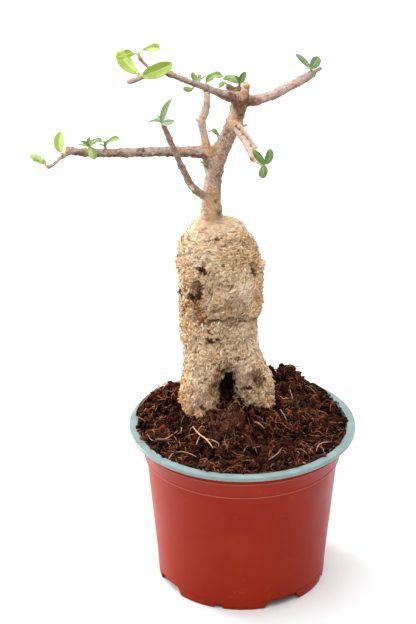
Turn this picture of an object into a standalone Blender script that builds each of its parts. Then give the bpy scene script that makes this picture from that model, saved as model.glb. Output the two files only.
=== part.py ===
"""Fockea edulis bonsai: a warty caudex on two root legs, thin pruned branches with small leafy
sprigs, and peaty soil in a round thermoformed nursery pot.

Sizes and places are in millimetres and become metres through MM as each mesh is made. The origin
is the middle of the pot's base, +Z is up, the front is towards -Y and the right is towards +X.
"""
import math
from collections import namedtuple

import bmesh
import bpy
from mathutils import Vector, noise

MM = 0.001
CLEARANCE = 0.3
PART_NAME = "fockea_edulis_bonsai"

# Pot: a 13 cm pot 96 mm tall, with a flat flange, a turned-down lip and a flared collar
RIM_RADIUS = 65.0
RIM_HEIGHT = 96.0
RIM_INNER_RADIUS = 59.7
RIM_EDGE = 0.6
LIP_HEIGHT = 2.4
LIP_THICKNESS = 1.2
FLANGE_THICKNESS = 1.3
COLLAR_TOP_RADIUS = 60.6
COLLAR_LINE_HEIGHT = 89.0
COLLAR_LINE_RADIUS = 60.0
COLLAR_FOOT_HEIGHT = 78.0
COLLAR_FOOT_RADIUS = 56.0
WALL_TOP_RADIUS = 55.1
FOOT_LINE_HEIGHT = 5.7
FOOT_LINE_RADIUS = 48.4
BASE_RADIUS = 48.2
MOULDED_STEP = 0.35
WALL = 1.2
POT_STEPS = 48

# Drain channels in the base, their middles measured from the front towards the right
CHANNEL_ANGLES = [29.25, 119.25, 209.25, 299.25]
CHANNEL_HALF_WIDTH = 11.8
CHANNEL_HEIGHT = 5.2
CHANNEL_SLANT = 2.6
CHANNEL_INNER_RADIUS = 22.0
NOTCH_ANGLES = [-16.5, 73.5, 163.5, 253.5]
NOTCH_HALF_WIDTH = 3.1
NOTCH_HEIGHT = 3.0
NOTCH_SLANT = 1.4
NOTCH_INNER_RADIUS = 41.0
DRAIN_HOLE_RADIUS = 3.5
DRAIN_HOLE_DISTANCE = 37.0

# Soil: its level, then mounds as (x, y, spread in x, spread in y, height)
SOIL_LEVEL = 95.4
SOIL_EDGE_RADIUS = 59.4
SOIL_EDGE_STEP = 0.25
SOIL_TOP_START = 93.0
SOIL_MOUNDS = [
    (-5.0, 4.0, 32.0, 27.0, 14.5),
    (-5.0, -5.0, 14.0, 9.0, 5.0),
    (22.0, 42.0, 20.0, 16.0, 12.6),
    (-47.0, 28.0, 18.0, 16.0, 8.0),
]
SOIL_TOP_RADII = [56.5, 51.0, 45.0, 39.0, 33.0, 27.0, 19.0, 10.0]
SOIL_LUMP_HEIGHT = 1.6
SOIL_LUMP_SIZE = 7.0
SOIL_SPILL = 3.0
SOCKET_GAP = 0.4
SOCKET_TOP = 128.0

# Lumps of peat on the soil as (x, y, radius)
CLODS = [
    (26.0, 47.0, 4.6), (37.0, 36.0, 4.0), (14.0, 51.0, 3.8), (44.0, 18.0, 3.2),
    (-50.0, 20.0, 3.8), (-12.0, -38.0, 3.4),
]
CLOD_FLATTENING = 0.62

# Caudex: cross-sections as (height, left, right, front, back). The back wall joins the legs behind the gap
BODY_SECTIONS = [
    (219.4, -22.0, -13.0, 7.5, 16.5), (217.6, -25.5, -6.5, 3.0, 21.0), (215.4, -28.6, -2.4, -0.5, 25.0),
    (212.6, -31.4, 0.6, -3.6, 28.0), (209.2, -33.2, 2.9, -5.6, 30.0), (207.0, -34.2, 4.2, -6.6, 30.8),
    (205.6, -33.6, 3.8, -6.0, 30.4), (204.0, -35.0, 5.4, -7.6, 31.4), (200.0, -36.3, 7.2, -8.6, 32.4),
    (195.5, -37.1, 8.8, -9.2, 33.0), (191.0, -37.2, 10.6, -9.6, 33.4), (186.5, -36.6, 11.3, -9.8, 33.6),
    (182.0, -36.1, 11.0, -9.6, 33.4), (177.0, -35.8, 10.9, -9.2, 33.0), (172.0, -36.0, 11.0, -8.8, 32.6),
    (167.0, -35.6, 10.7, -8.2, 32.2), (162.0, -35.5, 9.4, -7.6, 31.6), (157.5, -35.5, 8.6, -7.2, 31.2),
    (155.2, -35.4, 8.5, -7.0, 31.0), (154.0, -34.9, 7.9, -6.3, 30.4), (152.4, -35.6, 8.7, -6.8, 30.6),
    (147.5, -35.1, 8.5, -6.4, 30.2), (141.7, -34.5, 8.9, -6.0, 29.8), (136.6, -33.8, 10.0, -5.8, 29.4),
    (133.2, -31.2, 8.8, -4.3, 28.2), (129.8, -26.6, 4.8, 0.0, 25.4), (126.0, -19.0, -2.0, 6.6, 21.0),
]
LEFT_LEG_SECTIONS = [
    (147.0, -30.0, -13.0, 1.0, 23.0), (141.0, -32.8, -9.8, -4.0, 28.2), (136.0, -33.5, -8.2, -6.2, 29.3),
    (129.0, -33.2, -8.1, -7.4, 29.9), (121.0, -34.3, -11.0, -8.0, 30.2),
    (116.0, -35.2, -13.2, -8.4, 30.2), (111.0, -35.5, -11.8, -8.4, 30.1), (106.0, -35.4, -10.0, -8.2, 29.8),
    (100.0, -34.4, -10.4, -7.4, 29.0), (93.0, -32.2, -12.4, -4.6, 26.6), (86.0, -29.8, -14.8, -0.6, 22.8),
    (76.0, -26.0, -18.6, 5.6, 16.8),
]
RIGHT_LEG_SECTIONS = [
    (147.0, -6.0, 5.0, 1.0, 23.0), (141.0, -6.8, 8.0, -3.8, 27.6), (136.0, -7.2, 9.9, -5.4, 28.6),
    (129.0, -6.8, 12.2, -5.9, 28.8), (121.0, -5.5, 15.4, -5.2, 29.0),
    (116.0, -4.8, 17.3, -4.8, 29.2), (111.0, -5.2, 18.6, -4.4, 29.2), (106.0, -4.8, 18.8, -4.0, 29.0),
    (100.0, -3.8, 17.9, -2.8, 28.0), (93.0, -1.6, 16.2, 0.0, 25.8), (86.0, 1.2, 14.0, 3.2, 22.4),
    (76.0, 4.8, 10.8, 8.2, 17.0),
]
BACK_WALL_SECTIONS = [
    (132.0, -18.0, 3.0, 17.5, 26.0), (121.0, -20.0, 5.0, 18.5, 27.0), (108.0, -20.0, 5.0, 18.8, 27.0),
    (98.0, -17.0, 2.0, 20.0, 25.5),
]
BODY_SIDES = 24
LEG_SIDES = 14
BACK_WALL_SIDES = 10
BARK_LUMP = 0.9
BARK_LUMP_SIZE = 9.0
BARK_FADE_BOTTOM = 104.0
BARK_FADE_TOP = 120.0

# Branches: centre lines as (x, y, z, radius), each pruned flat where it ends
BRANCHES = {
    "trunk": [
        (-17.6, 12.0, 212.0, 7.2), (-17.8, 12.0, 218.5, 6.2), (-17.7, 12.0, 224.0, 5.7),
        (-17.9, 12.0, 230.0, 5.4), (-17.5, 12.0, 236.0, 5.0), (-16.7, 12.0, 243.0, 4.7),
        (-15.9, 12.0, 249.0, 5.0), (-14.4, 12.0, 255.5, 4.9), (-11.8, 11.6, 261.5, 4.7),
        (-9.6, 11.2, 266.5, 4.4), (-7.3, 10.6, 272.0, 4.4), (-5.0, 10.2, 277.0, 4.6),
        (-3.9, 10.0, 282.0, 4.6), (-2.9, 10.0, 287.0, 4.7), (-1.8, 9.8, 291.8, 4.3),
    ],
    "left_fork": [
        (-17.0, 12.0, 246.0, 3.8), (-18.8, 11.8, 253.0, 4.2), (-19.9, 11.5, 258.0, 4.0),
        (-20.6, 11.4, 261.4, 3.1),
    ],
    "left_branch": [
        (-18.4, 11.5, 259.0, 3.6), (-23.0, 11.2, 258.9, 3.4), (-33.0, 10.2, 259.5, 3.05),
        (-43.5, 9.0, 260.0, 2.8), (-54.0, 7.8, 260.3, 2.75), (-64.5, 6.8, 260.2, 2.6),
        (-75.0, 5.8, 260.5, 2.5), (-85.0, 4.6, 261.1, 2.4), (-91.5, 3.6, 262.0, 2.3),
        (-97.3, 2.4, 264.0, 2.3),
    ],
    "drooping_twig": [
        (-95.0, 2.6, 262.6, 1.6), (-97.6, 1.4, 261.4, 1.5), (-100.0, 0.4, 260.2, 1.2),
        (-102.2, -0.8, 258.3, 1.1), (-104.4, -2.4, 256.7, 1.15), (-107.4, -3.9, 256.2, 1.2),
    ],
    "upright_twig": [
        (-20.6, 11.3, 259.5, 3.0), (-20.9, 11.6, 263.6, 2.7), (-21.5, 12.4, 267.2, 2.2),
        (-22.9, 14.6, 273.4, 2.3), (-23.0, 15.8, 276.2, 2.4), (-21.4, 17.8, 279.6, 2.35),
        (-20.5, 19.8, 283.6, 2.15), (-20.2, 21.8, 288.2, 2.0), (-20.6, 24.5, 292.0, 1.75),
    ],
    "upright_twig_spur": [(-22.6, 15.7, 275.2, 1.6), (-24.8, 15.3, 276.1, 1.25), (-26.7, 15.0, 276.5, 0.9)],
    "front_twig": [
        (-19.0, 9.4, 232.6, 2.6), (-22.6, 6.3, 235.2, 2.4), (-26.1, 3.3, 239.1, 2.25),
        (-29.0, -0.2, 243.8, 2.1), (-32.0, -6.0, 252.8, 1.85), (-35.0, -9.8, 261.4, 1.75),
        (-37.8, -13.5, 270.1, 1.7), (-40.5, -16.6, 278.1, 1.6), (-43.7, -20.6, 287.8, 1.45),
    ],
    "upper_left_branch": [
        (-1.4, 9.4, 291.0, 3.5), (-5.0, 7.2, 292.3, 3.2), (-11.0, 4.6, 295.0, 2.75),
        (-18.0, 1.7, 299.0, 2.45), (-24.8, -1.4, 303.0, 2.2), (-31.8, -4.8, 306.8, 2.15),
        (-38.6, -7.6, 311.0, 1.95), (-44.0, -8.8, 313.4, 1.85), (-50.4, -9.0, 315.0, 1.5),
    ],
    "upper_left_up_twig": [
        (-48.4, -8.8, 314.4, 1.6), (-52.4, -8.2, 316.3, 1.35), (-55.0, -8.0, 319.4, 1.45),
        (-56.4, -7.8, 321.6, 1.6),
    ],
    "upper_left_down_twig": [
        (-48.6, -9.4, 314.4, 1.6), (-51.6, -12.8, 313.7, 1.5), (-54.8, -15.7, 313.0, 1.5),
        (-58.4, -17.0, 311.7, 1.4), (-62.6, -18.0, 310.6, 1.4),
    ],
    "right_branch": [
        (-1.4, 9.8, 290.6, 3.7), (4.0, 10.5, 289.2, 3.2), (8.0, 12.1, 289.4, 3.0),
        (15.6, 15.8, 290.7, 2.75), (22.8, 19.7, 293.0, 2.6), (30.0, 23.3, 295.5, 2.45),
        (36.2, 26.3, 298.0, 2.45), (38.2, 27.2, 299.0, 2.1),
    ],
    "right_branch_stub": [(36.6, 26.6, 298.2, 1.4), (39.8, 28.2, 300.1, 1.2), (42.8, 29.8, 301.5, 1.1)],
    "right_branch_knob": [(37.2, 26.8, 298.6, 1.7), (38.8, 27.0, 297.2, 1.3)],
    "lower_right_branch": [
        (-4.6, 7.0, 277.0, 2.9), (-2.9, 0.5, 276.2, 2.6), (0.4, -8.0, 274.0, 2.35),
        (2.8, -16.0, 271.7, 2.3), (5.2, -23.8, 268.9, 2.25),
    ],
    "lower_right_shoot": [(4.9, -21.5, 269.6, 1.8), (7.4, -27.0, 268.9, 1.5), (9.5, -32.0, 269.3, 1.25)],
    "alongside_twig": [
        (-5.7, 6.5, 278.2, 1.5), (-3.6, 4.2, 278.1, 1.3), (-1.3, 0.6, 277.3, 1.15),
        (1.2, -4.6, 276.0, 1.05), (3.5, -9.2, 274.4, 1.0), (5.5, -13.6, 273.1, 1.0),
        (6.8, -16.4, 272.4, 0.95),
    ],
    "cut_stub": [(-0.4, 9.2, 290.0, 2.9), (0.5, 8.6, 295.2, 2.5), (1.3, 8.0, 300.4, 2.1)],
    "broken_stump": [(-2.6, 10.6, 288.0, 3.8), (-4.4, 14.6, 291.4, 3.6), (-5.8, 17.0, 293.2, 3.0)],
    "broken_stump_left": [(-5.4, 16.2, 291.6, 2.4), (-7.4, 16.8, 293.8, 2.1), (-9.1, 17.0, 295.8, 1.6)],
    "broken_stump_right": [(-3.8, 15.0, 291.6, 2.4), (-2.8, 16.8, 293.8, 2.0), (-2.4, 17.6, 294.7, 1.5)],
    "fork_stub": [(-17.2, 12.8, 258.6, 2.4), (-15.4, 15.8, 260.8, 1.9), (-14.2, 18.4, 262.2, 1.4)],
}
STOUT = {"trunk", "left_fork"}
SLIM = {
    "drooping_twig", "upright_twig_spur", "upper_left_up_twig", "upper_left_down_twig",
    "right_branch_stub", "right_branch_knob", "lower_right_shoot", "broken_stump_left",
    "broken_stump_right", "fork_stub",
}
PATH_STEP = 5.4
NODE_SPACING = 11.5
NODE_SWELLING = 0.12
SCAR_RADIUS = 1.0
SCAR_RISE = 0.7
SCARRED = ["left_branch", "front_twig", "upper_left_branch", "right_branch", "lower_right_branch"]

# Leaves: a midrib through three points, the full width, the side that the upper face looks to,
# the fold of each half towards it in degrees, the wave of the margin, and the outline
Leaf = namedtuple("Leaf", "base middle tip width facing fold wave outline")
Sprig = namedtuple("Sprig", "seat rise hub_radius hub_length material leaves")
FRONT = (0.0, -0.92, 0.38)
UPWARD = (0.0, -0.45, 0.9)
TILTED = (0.0, -0.72, 0.7)
SIDEWAYS = (0.85, -0.5, 0.1)
OVATE = (0.85, 0.62)
OVAL = (1.0, 0.5)
ROUND = (1.04, 0.42)
LANCE = (0.75, 0.85)
SPOON = (1.4, 0.6)
PADDLE = (1.9, 0.6)
BLADE_THICKNESS = 0.7
SMALL_LEAF = 7.0
SMALL_BLADE_STATIONS = 4
BLADE_STATIONS = 6
STALK_RADIUS = 0.45
BLADE_TIP = 0.12

SPRIGS = {
    "leaf_on_drooping_twig": Sprig((-99.0, -0.2, 262.2), (-0.3, -0.25, 0.9), 0.75, 1.0, "leaf_bright", [
        Leaf((-99.9, -1.0, 263.7), (-100.7, -2.0, 270.2), (-99.0, -1.5, 276.0), 5.9, FRONT, 10, 0.2, ROUND),
    ]),
    "leaf_at_drooping_tip": Sprig((-107.8, -4.3, 256.9), (-0.5, -0.45, 0.75), 0.7, 0.9, "leaf_bright", [
        Leaf((-108.2, -4.9, 257.9), (-112.3, -6.5, 262.1), (-116.6, -6.0, 264.1), 4.3, FRONT, 14, 0.6, SPOON),
        Leaf((-108.0, -4.8, 258.0), (-108.7, -5.4, 260.2), (-109.2, -6.0, 262.4), 1.8, FRONT, 20, 0.0, OVATE),
    ]),
    "rosette_on_left_branch": Sprig((-84.2, 3.0, 264.5), (0.0, -0.35, 0.94), 0.9, 1.4, "leaf_green", [
        Leaf((-84.4, 1.6, 266.2), (-86.9, 0.4, 269.0), (-89.3, 0.0, 269.7), 2.0, FRONT, 25, 0.0, LANCE),
        Leaf((-84.4, 1.2, 266.0), (-88.2, -2.0, 268.4), (-91.0, -3.0, 269.0), 2.0, UPWARD, 20, 0.0, LANCE),
        Leaf((-84.2, 1.8, 266.6), (-84.9, 2.0, 269.1), (-83.6, 2.2, 271.7), 2.4, FRONT, 25, 0.0, OVATE),
        Leaf((-84.0, 1.2, 266.4), (-83.0, -1.6, 269.6), (-82.2, -3.0, 272.0), 2.6, FRONT, 15, 0.0, OVAL),
        Leaf((-83.8, 1.2, 266.2), (-80.3, 0.0, 270.6), (-76.9, -2.0, 269.6), 3.2, UPWARD, 10, 0.3, OVATE),
        Leaf((-83.9, 2.0, 266.2), (-81.7, 4.4, 267.4), (-79.6, 7.6, 267.2), 2.4, UPWARD, 15, 0.0, OVATE),
        Leaf((-83.9, 0.9, 265.6), (-82.6, -0.6, 263.2), (-82.2, -0.2, 258.9), 5.0, FRONT, 8, 0.3, OVAL),
    ]),
    "leaf_pair_on_left_branch": Sprig((-75.8, 4.4, 264.2), (0.0, -0.3, 0.95), 0.8, 1.2, "leaf_green", [
        Leaf((-76.1, 3.4, 265.2), (-77.6, 1.6, 266.9), (-79.0, -0.4, 267.4), 1.7, UPWARD, 20, 0.0, LANCE),
        Leaf((-75.9, 3.6, 265.6), (-76.1, 3.2, 267.5), (-76.7, 3.0, 269.3), 1.5, FRONT, 20, 0.0, OVATE),
        Leaf((-75.6, 3.7, 265.6), (-74.9, 4.4, 267.4), (-73.5, 5.4, 268.4), 1.9, FRONT, 15, 0.0, OVATE),
        Leaf((-75.0, 3.4, 266.4), (-71.8, 3.0, 269.7), (-68.0, 2.0, 270.3), 3.4, FRONT, 8, 0.25, PADDLE),
    ]),
    "leaf_pair_at_upper_left_tip": Sprig(
        (-56.5, -7.8, 322.1), (-0.15, -0.05, 0.98), 0.9, 1.2, "leaf_bright", [
        Leaf((-55.6, -8.2, 324.4), (-50.0, -9.0, 327.0), (-45.2, -10.0, 327.0), 5.0, TILTED, 16, 0.3, PADDLE),
        Leaf((-57.2, -8.3, 323.1), (-63.0, -11.5, 324.3), (-68.2, -14.5, 323.0), 5.0, TILTED, 14, 0.4, SPOON),
    ]),
    "large_leaf_pointing_left": Sprig((-56.4, -15.7, 314.6), (-0.3, 0.25, 0.92), 0.7, 0.8, "leaf_bright", [
        Leaf((-57.1, -15.0, 315.0), (-63.4, -9.4, 318.6), (-67.5, -4.0, 324.0), 7.4, FRONT, 12, 0.3, ROUND),
    ]),
    "large_leaf_pointing_right": Sprig((-54.4, -17.5, 314.2), (0.15, -0.8, 0.6), 0.7, 0.8, "leaf_bright", [
        Leaf((-54.2, -18.2, 314.7), (-46.4, -20.2, 318.2), (-38.5, -19.0, 321.7), 8.0, FRONT, 16, 0.2, ROUND),
    ]),
    "sprig_on_front_twig": Sprig((-44.0, -20.8, 288.4), (-0.2, -0.1, 0.97), 0.85, 1.2, "leaf_grey_green", [
        Leaf((-44.3, -21.0, 289.6), (-42.5, -22.0, 297.3), (-38.4, -21.0, 303.2),
             3.6, FRONT, 14, 0.25, LANCE),
        Leaf((-43.9, -21.6, 289.4), (-40.9, -25.4, 290.9), (-37.5, -28.0, 293.2), 3.6, FRONT, 10, 0.0, OVATE),
        Leaf((-44.6, -21.4, 289.2), (-48.5, -22.2, 290.4), (-52.1, -22.2, 288.6),
             2.2, UPWARD, 30, 0.0, LANCE),
        Leaf((-44.5, -20.6, 289.6), (-45.9, -19.4, 291.4), (-47.6, -18.0, 292.8),
             1.8, SIDEWAYS, 25, 0.0, LANCE),
        Leaf((-44.6, -20.2, 289.2), (-46.6, -16.4, 289.6), (-48.1, -13.0, 288.4),
             2.4, UPWARD, 10, 0.0, OVATE),
    ]),
    "sprig_on_upper_left_branch": Sprig((-24.3, 0.2, 305.0), (0.0, 0.55, 0.83), 0.8, 0.9, "leaf_green", [
        Leaf((-24.6, 1.2, 305.5), (-26.9, 1.8, 306.1), (-28.1, 2.0, 309.4), 3.4, FRONT, 14, 0.0, OVAL),
        Leaf((-24.3, 1.4, 305.8), (-24.2, 2.2, 306.5), (-23.9, 3.0, 307.6), 2.0, FRONT, 25, 0.0, OVATE),
        Leaf((-24.0, 0.9, 305.7), (-21.9, 0.2, 307.1), (-20.1, -0.6, 310.0), 1.5, SIDEWAYS, 15, 0.0, LANCE),
    ]),
    "leaf_on_upright_twig": Sprig((-20.7, 24.9, 292.5), (-0.05, 0.05, 1.0), 0.8, 0.9, "leaf_green", [
        Leaf((-20.8, 25.0, 294.0), (-16.6, 24.0, 298.8), (-11.3, 22.0, 298.8), 4.2, TILTED, 10, 0.5, OVAL),
    ]),
    "leaf_under_upper_left_branch": Sprig(
        (-27.6, -3.4, 302.2), (-0.35, -0.1, -0.93), 0.65, 0.7, "leaf_green", [
        Leaf((-27.9, -3.5, 301.4), (-30.6, -3.8, 301.3), (-33.0, -4.4, 302.9), 3.1, FRONT, 16, 0.0, ROUND),
    ]),
    "sprig_on_broken_stump": Sprig((-2.4, 17.8, 295.3), (0.05, 0.25, 0.97), 0.8, 0.8, "leaf_green", [
        Leaf((-2.2, 18.2, 296.4), (-1.0, 18.4, 299.5), (0.8, 17.8, 303.6), 3.7, FRONT, 12, 0.0, OVAL),
        Leaf((-2.5, 17.5, 296.3), (-3.3, 16.4, 299.3), (-4.8, 15.2, 301.9), 2.8, SIDEWAYS, 20, 0.0, OVATE),
        Leaf((-3.0, 18.6, 296.2), (-6.8, 20.6, 298.6), (-11.6, 21.4, 297.4), 4.2, FRONT, 10, 0.4, OVATE),
    ]),
    "small_leaf_on_broken_stump": Sprig((-9.4, 17.4, 296.2), (-0.35, 0.35, 0.86), 0.65, 0.7, "leaf_green", [
        Leaf((-9.9, 17.9, 296.8), (-12.0, 18.4, 296.0), (-13.8, 17.6, 293.9), 2.8, FRONT, 12, 0.2, OVAL),
    ]),
    "sprig_on_right_branch": Sprig((37.0, 26.3, 301.0), (-0.05, 0.0, 1.0), 0.8, 0.8, "leaf_grey_green", [
        Leaf((36.8, 26.4, 301.9), (32.5, 27.2, 306.5), (28.3, 27.6, 310.1), 3.0, FRONT, 12, 0.15, OVAL),
        Leaf((37.2, 26.4, 302.2), (39.3, 26.4, 305.8), (41.2, 26.6, 308.7), 5.6, FRONT, 8, 0.0, ROUND),
        Leaf((36.8, 26.0, 301.7), (35.0, 24.6, 302.9), (33.3, 23.4, 302.6), 1.9, UPWARD, 15, 0.0, OVATE),
        Leaf((37.2, 25.9, 301.7), (38.4, 24.4, 302.4), (39.4, 23.3, 301.6), 1.6, UPWARD, 15, 0.0, OVATE),
    ]),
    "sprig_on_lower_right_branch": Sprig((9.8, -32.7, 269.5), (0.4, -0.85, 0.35), 0.7, 1.2, "leaf_green", [
        Leaf((10.2, -34.0, 270.4), (7.4, -36.6, 275.5), (4.2, -36.0, 279.6), 3.8, FRONT, 10, 0.0, ROUND),
        Leaf((10.6, -33.9, 270.5), (13.0, -35.2, 275.3), (12.9, -34.0, 279.2), 4.4, FRONT, 10, 0.0, ROUND),
        Leaf((10.4, -34.2, 269.6), (9.8, -36.4, 267.0), (9.0, -36.4, 263.3), 4.8, FRONT, 8, 0.0, ROUND),
    ]),
    "leaf_in_fork": Sprig((-14.0, 18.8, 262.6), (0.1, 0.4, 0.9), 0.7, 0.7, "leaf_green", [
        Leaf((-13.9, 19.2, 263.7), (-15.8, 19.0, 267.9), (-20.1, 20.6, 267.0), 2.8, UPWARD, 12, 0.4, OVAL),
    ]),
    "small_leaf_on_trunk": Sprig((-21.6, 6.6, 254.0), (-0.5, -0.75, 0.35), 0.5, 0.5, "leaf_green", [
        Leaf((-21.8, 5.9, 254.3), (-22.7, 4.9, 255.2), (-23.9, 4.2, 256.3), 1.2, FRONT, 15, 0.0, OVAL),
    ]),
    "bud_on_limb": Sprig((0.5, 8.6, 275.3), (0.85, -0.45, 0.3), 0.6, 0.5, "leaf_bright", [
        Leaf((0.8, 8.4, 275.4), (1.0, 8.1, 276.0), (1.2, 7.9, 276.9), 1.5, FRONT, 20, 0.0, OVAL),
    ]),
}
SEAT_DEPTH = {"small_leaf_on_trunk": 5.0, "bud_on_limb": 4.5, "default": 3.0}

MATERIALS = {
    "pot_plastic": ((0.36, 0.045, 0.022), 0.38),
    "soil": ((0.045, 0.022, 0.014), 0.95),
    "bark": ((0.35, 0.24, 0.14), 0.8),
    "leaf_bright": ((0.32, 0.48, 0.04), 0.5),
    "leaf_green": ((0.16, 0.32, 0.07), 0.5),
    "leaf_grey_green": ((0.25, 0.38, 0.21), 0.5),
}


def clear_scene():
    for existing in list(bpy.data.objects):
        bpy.data.objects.remove(existing, do_unlink=True)


def new_collection(name):
    collection = bpy.data.collections.new(name)
    bpy.context.scene.collection.children.link(collection)
    return collection


def make_material(name):
    colour, roughness = MATERIALS[name]
    material = bpy.data.materials.new(name)
    material.use_nodes = True
    shader = material.node_tree.nodes["Principled BSDF"]
    shader.inputs["Base Color"].default_value = (*colour, 1.0)
    shader.inputs["Roughness"].default_value = roughness
    shader.inputs["Metallic"].default_value = 0.0
    return material


def smoothstep(low, high, value):
    t = min(1.0, max(0.0, (value - low) / (high - low)))
    return t * t * (3.0 - 2.0 * t)


def mix(a, b, t):
    return a + (b - a) * t


def object_from_bmesh(name, bm, collection):
    """Object from a bmesh in millimetres."""
    bm.normal_update()
    bmesh.ops.recalc_face_normals(bm, faces=bm.faces)
    for vertex in bm.verts:
        vertex.co *= MM
    mesh = bpy.data.meshes.new(name)
    bm.to_mesh(mesh)
    bm.free()
    built = bpy.data.objects.new(name, mesh)
    collection.objects.link(built)
    return built


def baked(source, name, collection):
    """New object with the source's evaluated mesh, its loose caps welded; the source is removed."""
    graph = bpy.context.evaluated_depsgraph_get()
    mesh = bpy.data.meshes.new_from_object(source.evaluated_get(graph))
    mesh.name = name
    bm = bmesh.new()
    bm.from_mesh(mesh)
    bmesh.ops.remove_doubles(bm, verts=bm.verts, dist=1e-6)
    bm.to_mesh(mesh)
    bm.free()
    result = bpy.data.objects.new(name, mesh)
    result.matrix_world = source.matrix_world
    collection.objects.link(result)
    bpy.data.objects.remove(source, do_unlink=True)
    return result


def turned(name, profile, collection, steps=POT_STEPS):
    """Solid of revolution from (radius, height) points that run down the outer side."""
    mesh = bpy.data.meshes.new(name)
    points = [(radius * MM, 0.0, height * MM) for radius, height in profile]
    mesh.from_pydata(points, [(i, i + 1) for i in range(len(points) - 1)], [])
    built = bpy.data.objects.new(name, mesh)
    collection.objects.link(built)
    screw = built.modifiers.new("Turn", "SCREW")
    screw.axis = "Z"
    screw.steps = steps
    screw.render_steps = steps
    screw.use_merge_vertices = True
    screw.merge_threshold = 0.00001
    screw.use_smooth_shade = True
    return built


def boolean(target, operation, other, solver="EXACT"):
    """Live Boolean with one object, or with every object of a collection."""
    modifier = target.modifiers.new(operation.title(), "BOOLEAN")
    modifier.operation = operation
    modifier.solver = solver
    if isinstance(other, bpy.types.Collection):
        modifier.operand_type = "COLLECTION"
        modifier.collection = other
    else:
        modifier.object = other


def mark_cutters(collection):
    for cutter in collection.all_objects:
        cutter.hide_render = True
        cutter.display_type = "WIRE"


def keep_largest_shell(mesh):
    """Drops the loose scraps and the sealed hollows that a union can leave."""
    bm = bmesh.new()
    bm.from_mesh(mesh)
    waiting = set(bm.verts)
    shells = []
    while waiting:
        shell, edge = set(), {waiting.pop()}
        while edge:
            shell |= edge
            edge = {link.other_vert(vertex) for vertex in edge for link in vertex.link_edges} - shell
        waiting -= shell
        shells.append(shell)
    shells.sort(key=len)
    bmesh.ops.delete(bm, geom=[vertex for shell in shells[:-1] for vertex in shell], context="VERTS")
    bm.to_mesh(mesh)
    bm.free()


def united(name, pieces, collection):
    """One closed body from overlapping pieces, by a single union."""
    group = new_collection(name + "_pieces")
    first = pieces[0]
    for piece in pieces[1:]:
        collection.objects.unlink(piece)
        group.objects.link(piece)
    boolean(first, "UNION", group, "MANIFOLD")
    first.name = name + "_first"
    result = baked(first, name, collection)
    keep_largest_shell(result.data)
    for piece in list(group.objects):
        bpy.data.objects.remove(piece, do_unlink=True)
    bpy.data.collections.remove(group)
    return result


def finish(built, material):
    built.data.materials.clear()
    built.data.materials.append(material)
    built.data.shade_smooth()
    built.data.set_sharp_from_angle(angle=math.radians(40.0))


# Pot

def pot_outside():
    step = MOULDED_STEP
    lip_radius = RIM_RADIUS - LIP_THICKNESS
    return [
        (0.0, RIM_HEIGHT), (RIM_RADIUS - RIM_EDGE, RIM_HEIGHT), (RIM_RADIUS, RIM_HEIGHT - RIM_EDGE),
        (RIM_RADIUS, RIM_HEIGHT - LIP_HEIGHT), (lip_radius, RIM_HEIGHT - LIP_HEIGHT),
        (lip_radius, RIM_HEIGHT - FLANGE_THICKNESS), (COLLAR_TOP_RADIUS, RIM_HEIGHT - FLANGE_THICKNESS),
        (COLLAR_LINE_RADIUS, COLLAR_LINE_HEIGHT),
        (COLLAR_FOOT_RADIUS + step, COLLAR_FOOT_HEIGHT + step), (WALL_TOP_RADIUS + step, COLLAR_FOOT_HEIGHT),
        (WALL_TOP_RADIUS, COLLAR_FOOT_HEIGHT - 2.0 * step),
        (FOOT_LINE_RADIUS, FOOT_LINE_HEIGHT + step), (FOOT_LINE_RADIUS + step, FOOT_LINE_HEIGHT),
        (BASE_RADIUS, RIM_EDGE), (BASE_RADIUS - RIM_EDGE, 0.0), (0.0, 0.0),
    ]


def pot_inside(gap=0.0):
    """Side and floor of the pot's hollow, drawn in by a gap."""
    return [
        (RIM_INNER_RADIUS - gap, RIM_HEIGHT - RIM_EDGE),
        (COLLAR_LINE_RADIUS - WALL - gap, COLLAR_LINE_HEIGHT),
        (WALL_TOP_RADIUS - WALL + 0.3 - gap, COLLAR_FOOT_HEIGHT),
        (FOOT_LINE_RADIUS - WALL - gap, FOOT_LINE_HEIGHT),
        (BASE_RADIUS - WALL - RIM_EDGE - gap, WALL + RIM_EDGE + gap),
        (BASE_RADIUS - WALL - 2.0 * RIM_EDGE - gap, WALL + gap),
        (0.0, WALL + gap),
    ]


def channel_block(name, angle, half_width, height, slant, inner_radius, grow, collection):
    """Block that fills one radial drain channel, wider at the bottom, grown on its closed sides."""
    bm = bmesh.new()
    bmesh.ops.create_cube(bm, size=1.0)
    below = 6.0
    reach = RIM_RADIUS + 10.0
    for vertex in bm.verts:
        outward = vertex.co.x > 0.0
        upper = vertex.co.z > 0.0
        top = height + grow
        side = math.copysign(half_width + grow, vertex.co.y)
        side -= math.copysign(slant * ((top if upper else -below) / height), vertex.co.y)
        vertex.co = Vector((reach if outward else inner_radius - grow, side, top if upper else -below))
    turn = math.radians(angle - 90.0)
    for vertex in bm.verts:
        x, y, z = vertex.co
        vertex.co = Vector((x * math.cos(turn) - y * math.sin(turn),
                            x * math.sin(turn) + y * math.cos(turn), z))
    return object_from_bmesh(name, bm, collection)


def channel_blocks(name, grow, cutters):
    """Collection with every channel and notch of the base."""
    group = bpy.data.collections.new(name)
    cutters.children.link(group)
    for angle in CHANNEL_ANGLES:
        channel_block(name + "_channel", angle, CHANNEL_HALF_WIDTH, CHANNEL_HEIGHT, CHANNEL_SLANT,
                      CHANNEL_INNER_RADIUS, grow, group)
    for angle in NOTCH_ANGLES:
        channel_block(name + "_notch", angle, NOTCH_HALF_WIDTH, NOTCH_HEIGHT, NOTCH_SLANT,
                      NOTCH_INNER_RADIUS, grow, group)
    return group


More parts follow.
